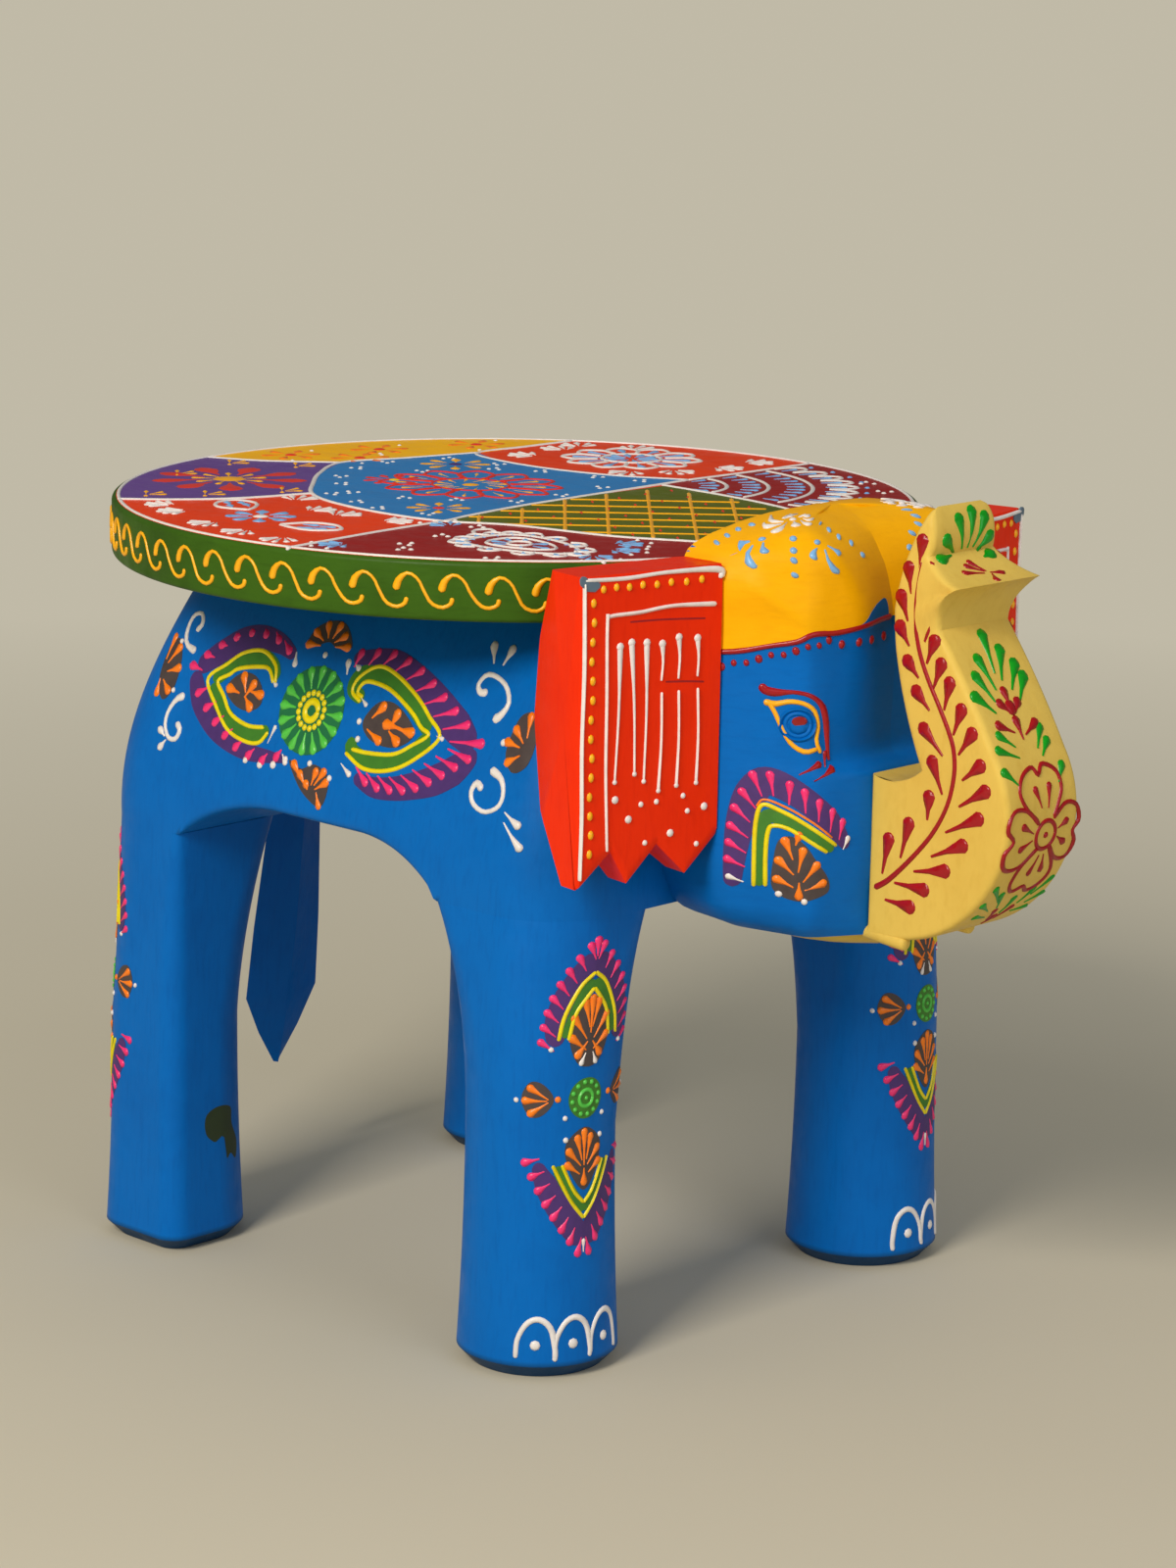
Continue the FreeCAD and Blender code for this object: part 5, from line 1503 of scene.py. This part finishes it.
def paint_seat_top():
    """Fields of colour parted by white lines, each with its own motifs."""
    grounds = Coat("seat_top", seat_top_face, "seat_paint")
    around = np.linspace(0, math.tau, 181)[:-1]
    r = SEAT_RADIUS - 1.9
    rings = np.array([0.02, 0.5, 1.0, 1.0])[:, None] * r
    height = np.array([0.12, 0.12, 0.12, -SINK])[:, None]
    disc = tube(np.stack([rings * np.cos(around), rings * np.sin(around),
        SEAT_TOP + height + 0 * rings * around], -1))
    grounds.lay("seat_red", disc)
    for number, (colour, outline) in enumerate(SEGMENTS):
        grounds.lay(colour, seat_patch(outline, 0.16 + 0.03 * number))
    grounds.finish()

    coat = Coat("seat_painting", seat_top_face, "seat_paint")
    ring = np.linspace(0, math.tau, 91)
    rim_line = RIM_LINE * np.stack([np.cos(ring), np.sin(ring)], 1)
    coat.stroke("white", rim_line, 0.65, steps=240, base=0.4, rise=0.35)
    for border in BORDERS:
        coat.stroke("white", border, 0.8, 0.9, 0.75, 0.85, rise=0.35, base=0.38)
    # olive: a yellow net with red specks in its meshes
    for k in range(8):
        x = 22 + 22 * k
        for start, way in (((x, -64), (-0.70, 0.715)), ((x - 76, -64), (0.72, 0.69))):
            line = np.array(start) + np.array(way) * np.linspace(0, 190, 120)[:, None]
            roof = np.interp(line[:, 0], [18, 60, 95, 150], [59, 57, 50, 18])
            bottom = np.interp(line[:, 0], [27, 50, 90, 117, 150], [-63, -51, -41, -27, -10])
            left = np.interp(line[:, 1], [-65, -50, -20, 20, 60], [28, 25, 21, 19, 19])
            inside = (line[:, 0] > left) & (line[:, 1] < roof) & (line[:, 1] > bottom)
            inside &= np.linalg.norm(line, axis=1) < 148
            kept = line[inside]
            if len(kept) > 6:
                coat.stroke("gold", kept[::5], 0.8, 0.65, 0.8, base=0.3, rise=0.3)
    for i in range(9):
        for j in range(8):
            spot = np.array([30.0 + 15.5 * i, -48 + 14.5 * j + 7 * (i % 2)])
            roof = np.interp(spot[0], [18, 60, 95, 150], [55, 52, 44, 10])
            bottom = np.interp(spot[0], [27, 50, 90, 117, 150], [-58, -46, -36, -22, -6])
            if bottom < spot[1] < roof and np.linalg.norm(spot) < 144:
                coat.drops("scarlet", 0.8, (spot, spot + np.array([2.6, -2.2])))
    # blue: a mandala, two small flowers and clusters of three dots
    heart = np.array([-29.0, 4.0])
    for k in range(12):
        way = direction(30 * k + 8)
        side = np.array([-way[1], way[0]])
        reach = np.array([1.0, 0.92])
        coat.stroke("scarlet", [heart + (way * a + side * b) * reach for a, b in ((16, -3), (22, -6.5),
            (30, -6.5), (36.5, 0), (30, 6.5), (22, 6.5), (16, 3))], 0.75, base=0.42, rise=0.35)
        coat.drops("gold", 1.2, (heart + way * 29 * reach, heart + way * 21 * reach))
        coat.drops("gold", 1.1, (heart + 13 * direction(30 * k - 7), heart + way * 7))
    coat.ring("scarlet", heart, 15.5, 0.8, 0.92)
    coat.beads("gold", 4.0, heart)
    seat_flower(coat, (-57, -10), 12, "scarlet", "yellow", 9)
    seat_flower(coat, (4, -45), 12, "gold", "scarlet")
    seat_flower(coat, (-71, 37), 14, "gold", "purple")
    three_dots(coat, 1.15, 2.4, 2.1, 37, [(-92, 20), (-84, 46), (-60, 50), (-36, 50), (-12, 56), (6, 62),
        (8, 38), (12, 12), (12, -12), (-88, 0), (-76, -20), (-62, -32), (-44, -44), (-22, -38), (-6, -26),
        (-26, -58), (-46, -52), (12, -58), (-66, 14), (-10, -62), (-52, 40)])
    # purple: a red and yellow flower, small yellow sprigs
    middle = np.array([-99, -57])
    seat_flower(coat, middle, 30, "scarlet", "gold", 9)
    for k in range(9):
        way = direction(40 * k + 20)
        coat.drops("gold", 1.7, (middle + way * 13, middle + way * 6))
    for x, y in ((-130, -28), (-108, -13), (-64, -60), (-90, -105), (-122, -62), (-76, -88)):
        coat.drops("gold", 1.3, *[((x + dx, y + dy), (x + dx * 0.2 + 1, y + dy * 0.2 - 2)) for dx,
            dy in ((5, 3), (0, 6), (-5, 3), (3, -4))])
    # yellow: brown flowers
    for centre in ((-105, 82), (-120, 42), (-131, 4), (-108, 20)):
        seat_flower(coat, centre, 12, "orange", "scarlet", 6)
        coat.beads("white", 1.0, (centre[0] + 12, centre[1] - 10), (centre[0] - 3, centre[1] + 14))
    # right red: paisleys, sprays and flowers
    seat_flower(coat, (-24, -108), 13, "sky", "white")
    for x, y, spin in ((-50, -97, 150), (6, -109, 20)):
        coat.stroke("white", turned_by([(-13, -2), (-5, 7), (6, 6), (11, -2), (3, -8), (-6, -6),
            (-13, -2)], (x, y), spin), 0.8)
        coat.drops("sky", 1.6, *[turned_by([(a, b), (a - 5, b)], (x, y), spin) for a,
            b in ((6, 2), (5, -3), (-1, 2.5), (0, -4))])
    sprays(coat, "white", 1.35, [(8, 0), (6.5, 4), (6.5, -4), (3.5, 6), (3.5, -6)], 0.7, [(-22, -84, 90),
        (-25, -131, 270), (14, -80, 60), (17, -135, 300), (-66, -116, 200), (-45, -71, 120),
        (-8, -84, 100), (-52, -122, 240), (-4, -134, 280)])
    # right maroon: a scalloped paisley
    knob = np.array([80.0, -79.0])
    angle = np.linspace(0, math.tau, 15)[:-1]
    outline = np.stack([23 * np.cos(angle) + 4 * np.cos(2 * angle), 15 * np.sin(angle)], 1)
    for k in range(len(outline)):
        spot = knob + outline[k]
        out = outline[k] / np.linalg.norm(outline[k])
        side = np.array([-out[1], out[0]])
        coat.stroke("white", [spot - side * 4.2, spot + out * 4.4 - side * 3, spot + out * 6,
            spot + out * 4.4 + side * 3, spot + side * 4.2], 0.65)
        coat.drops("sky", 1.1, (spot + out * 2.6, spot - out * 2.0))
    coat.stroke("white", knob + outline[list(range(14)) + [0]], 0.75)
    coat.stroke("white", knob + 0.62 * outline[list(range(14)) + [0]], 0.65)
    coat.ring("white", knob, 4.4, 0.6)
    coat.drops("sky", 1.3, *[(knob + 0.5 * outline[k], knob + 0.25 * outline[k]) for k in range(0, 14, 2)])
    coat.stroke("white", [knob + [-24, 2], knob + [-31, 8], knob + [-29, 14], knob + [-24, 12]], 0.9, 0.8,
        1.0)
    places = [(112, -62, 20), (40, -128, 250), (34, -70, 160), (116, -78, 330), (104, -52, 60)]
    sprays(coat, "sky", 1.3, [(7, 0), (5.5, 4), (5.5, -4), (1, 5), (1, -5)], 0.65, places)
    for x, y, spin in places:
        coat.beads("white", 1.0, *turned_by([(11, 0), (8, 7), (8, -7)], (x, y), spin))
    three_dots(coat, 1.1, 2.6, 2.3, 41, [(55, -110), (44, -64), (62, -118), (96, -108), (50, -88)])
    # left maroon: arcs like ripples, then a scalloped shell
    corner = np.array([18.0, 61.0])
    for radius in (25, 41, 58):
        turn = np.linspace(0.03, math.pi / 2 - 0.03, 14)
        coat.stroke("white", corner + radius * np.stack([np.cos(turn), np.sin(turn)], 1), 0.9)
        for t in np.linspace(0.1, 1.46, int(radius / 5)):
            way = np.array([math.cos(t), math.sin(t)])
            coat.drops("sky", 1.25, (corner + way * (radius - 4), corner + way * (radius - 10)))
    for t in np.linspace(0.09, 1.48, 9):
        way, side = np.array([math.cos(t), math.sin(t)]), np.array([-math.sin(t), math.cos(t)])
        spot = corner + way * 68
        if np.linalg.norm(spot + way * 8) < 146:
            coat.stroke("white", [spot - side * 5.4 - way * 4, spot - side * 4 + way * 4,
                spot + way * 7.5, spot + side * 4 + way * 4, spot + side * 5.4 - way * 4], 0.8)
            coat.drops("sky", 1.4, (spot + way * 2, spot - way * 5))
            coat.beads("sky", 1.2, spot + way * 11)
    three_dots(coat, 1.1, 3, 2.6, 53, [(85, 114), (110, 92), (104, 74), (122, 62), (66, 126), (128, 46)])
    # left red: a big rosette and white sprays
    rose = np.array([-38.0, 103.0])
    for k in range(10):
        way = direction(36 * k)
        side = np.array([-way[1], way[0]])
        coat.stroke("white", [rose + way * 13 - side * 4, rose + way * 22 - side * 6.5, rose + way * 28,
            rose + way * 22 + side * 6.5, rose + way * 13 + side * 4], 0.85)
        coat.drops("sky", 1.9, (rose + way * 22, rose + way * 12), (rose + way * 9, rose + way * 3))
    coat.ring("white", rose, 12, 0.8)
    sprays(coat, "white", 1.5, [(8, 0), (6.5, 4.5), (6.5, -4.5), (2, 6), (2, -6)], 0.7, [(-70, 78, 200),
        (-76, 112, 140), (0, 132, 60), (-4, 92, 330), (2, 112, 20), (-56, 124, 110), (-14, 76, 290),
        (-74, 100, 170)])
    coat.finish()


# ---- the pieces
piece("seat", seat_shape(), GROUND["green"], ["seat_board"], 50)
piece("body", body_block(), GROUND["blue"], ["body_block"], 50, weld=True)
for side, turn_over in (("right", lambda shape: shape), ("left", mirrored)):
    for end, leg in (("front", FRONT_LEG), ("rear", REAR_LEG)):
        piece(f"{end}_leg_{side}", turn_over(leg_shape(leg)), GROUND["blue"],
              [f"leg_{end}_{side}"], 40)
    piece(f"{side}_ear", turn_over(ear_shape()), GROUND["red"], [f"ear_{side}"], 35)
    tusk = turned([2.4, 2.7, 2.7, 2.5, 1.7], [0, 0.02, 0.93, 0.975, 1.0], (186.0, -16.6, 162.4),
                  (212.5, -17.9, 160.7))
    piece(f"{side}_tusk", turn_over(tusk), GROUND["cream"], [f"tusk_{side}"], 60)
head_net = head_grid()
piece("head", tube(head_net), GROUND["face_blue"], ["head_block"], 38)
piece("trunk_plank", trunk_shape(), GROUND["cream"], ["trunk"], 40)
piece("lip", lip_shape(), GROUND["cream"], ["lower_lip"], 50)
piece("tail_leaf", tail_shape(), GROUND["blue"], ["tail"], 30)
paint_body_side()
paint_leg("front_leg_paint", FRONT_LEG, -10, (-47, -19, 10))
paint_leg("rear_leg_paint", REAR_LEG, -143, ())
paint_ear()
paint_trunk()
paint_forehead(head_net)
paint_head(head_face_of(head_net))
paint_flowers(head_net)
paint_stain()
paint_seat_edge()
paint_seat_top()
for name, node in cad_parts.items():
    if not node.hide_render:
        finish = "screw_steel" if name == "seat_screws" else "bare_wood"
        node.data.materials.clear()
        node.data.materials.append(HIDDEN[finish])


# ---- floor, light and camera
BACKDROP, BACKDROP_STRENGTH = "#CFC8B4", 0.85
FLOOR_DROP = 0.0002            # metres, keeps the feet clear of the floor's face


def floor_disc():
    """A disc seen as a pale studio floor: rings of growing radius, in metres."""
    around = np.linspace(0, math.tau, 65)[:-1]
    radius = np.array([0.3, 1.0, 3.0, 8.0, 25.0])[:, None]
    rings = np.stack([radius * np.cos(around), radius * np.sin(around), 0 * radius * around - FLOOR_DROP], -1)
    mesh = bpy.data.meshes.new("floor")
    points = np.concatenate([rings.reshape(-1, 3), [[0, 0, -FLOOR_DROP]]])
    n = len(around)
    fan = [[len(points) - 1, k, (k + 1) % n] for k in range(n)]
    mesh.from_pydata(points.tolist(), [], grid_quads(5, n, True).tolist() + fan)
    disc = bpy.data.objects.new("floor", mesh)
    bpy.context.scene.collection.objects.link(disc)
    return disc


def floor_finish():
    """Matt studio paper: one pale colour, very slightly uneven, that fades
    into the backdrop's own brightness far from the stool."""
    material, tree, shader = new_material("studio_floor")
    place = add(tree, "ShaderNodeTexCoord").outputs["Object"]
    cloud = add(tree, "ShaderNodeTexNoise", {"Scale": 3.0, "Detail": 2.0}, {"Vector": place})
    mix = add(tree, "ShaderNodeMix", {"data_type": "RGBA", 6: linear(BACKDROP), 7: linear("#C9C2AE")},
              {0: cloud.outputs["Fac"]})
    tree.links.new(mix.outputs[2], shader.inputs["Base Color"])
    shader.inputs["Roughness"].default_value = 0.9
    shader.inputs["Specular IOR Level"].default_value = 0.2
    distance = add(tree, "ShaderNodeVectorMath", {"operation": "LENGTH"}, {0: place})
    far = add(tree, "ShaderNodeMapRange", {"From Min": 0.34, "From Max": 1.4},
              {"Value": distance.outputs["Value"]})
    paths = add(tree, "ShaderNodeLightPath")
    share = add(tree, "ShaderNodeMath", {"operation": "MULTIPLY"},
                {0: far.outputs["Result"], 1: paths.outputs["Is Camera Ray"]})
    glow = add(tree, "ShaderNodeEmission", {"Color": linear(BACKDROP), "Strength": BACKDROP_STRENGTH})
    both = add(tree, "ShaderNodeMixShader", links={0: share.outputs["Value"], 1: shader.outputs["BSDF"],
                                                   2: glow.outputs["Emission"]})
    output = next(node for node in tree.nodes if node.type == "OUTPUT_MATERIAL")
    tree.links.new(both.outputs["Shader"], output.inputs["Surface"])
    return material


floor_disc().data.materials.append(floor_finish())

# the world: the backdrop to the camera, a soft even light to everything else,
# and less of it in reflections, so that the varnish stays deep in colour
world = bpy.data.worlds.new("studio")
bpy.context.scene.world = world
world.use_nodes = True
world_tree = world.node_tree
world_tree.nodes.clear()
paths = add(world_tree, "ShaderNodeLightPath")
seen = add(world_tree, "ShaderNodeMath", {"operation": "MAXIMUM"},
           {0: paths.outputs["Is Camera Ray"], 1: paths.outputs["Is Transmission Ray"]})
gleam = add(world_tree, "ShaderNodeMapRange", {"To Min": 0.42, "To Max": 0.12},
            {"Value": paths.outputs["Is Glossy Ray"]})
soft_light = add(world_tree, "ShaderNodeBackground", {"Color": linear("#F1F1EC")},
                 {"Strength": gleam.outputs["Result"]})
backdrop = add(world_tree, "ShaderNodeBackground", {"Color": linear(BACKDROP), "Strength": BACKDROP_STRENGTH})
both = add(world_tree, "ShaderNodeMixShader", (), {0: seen.outputs["Value"],
                                                   1: soft_light.outputs["Background"],
                                                   2: backdrop.outputs["Background"]})
add(world_tree, "ShaderNodeOutputWorld", (), {"Surface": both.outputs["Shader"]})


def softbox(name, place, target, size, power, colour):
    """A square area lamp turned to its target, in metres round the seat."""
    lamp = bpy.data.lights.new(name, "AREA")
    lamp.size = size
    lamp.energy = power
    lamp.color = linear(colour)[:3]
    thing = bpy.data.objects.new(name, lamp)
    bpy.context.scene.collection.objects.link(thing)
    place = Vector(place) + Vector(SEAT_OFFSET)
    thing.location = place
    thing.rotation_euler = (Vector(target) + Vector(SEAT_OFFSET) - place).to_track_quat("-Z", "Y").to_euler()


softbox("key_lamp", (0.55, -2.25, 1.75), (0, 0, 0.18), 0.9, 56, "#FFF6E8")
softbox("fill_lamp", (2.6, -0.4, 1.2), (0.1, 0, 0.2), 1.6, 13, "#EAF0FF")

CAMERA_PLACE = np.array([1173.45, -1182.48, 548.91])
CAMERA_YAW, CAMERA_PITCH, CAMERA_ROLL = 133.79, -12.47, 1.02      # degrees
CAMERA_LENS, CAMERA_SENSOR = 102.27, 36.0                         # mm
yaw, pitch, roll = (math.radians(a) for a in (CAMERA_YAW, CAMERA_PITCH, CAMERA_ROLL))
ahead = np.array([math.cos(yaw) * math.cos(pitch), math.sin(yaw) * math.cos(pitch), math.sin(pitch)])
level = np.cross(ahead, [0, 0, 1])
level /= np.linalg.norm(level)
upright = np.cross(level, ahead)
right_way = math.cos(roll) * level + math.sin(roll) * upright
up_way = -math.sin(roll) * level + math.cos(roll) * upright
camera = bpy.data.objects.new("camera", bpy.data.cameras.new("camera"))
camera.matrix_world = Matrix([[right_way[k], up_way[k], -ahead[k], metres(CAMERA_PLACE)[k]] for k in range(3)]
                             + [[0, 0, 0, 1]])
camera.data.lens = CAMERA_LENS
camera.data.sensor_width = CAMERA_SENSOR
bpy.context.scene.collection.objects.link(camera)
bpy.context.scene.camera = camera
bpy.context.scene.view_settings.view_transform = "Standard"
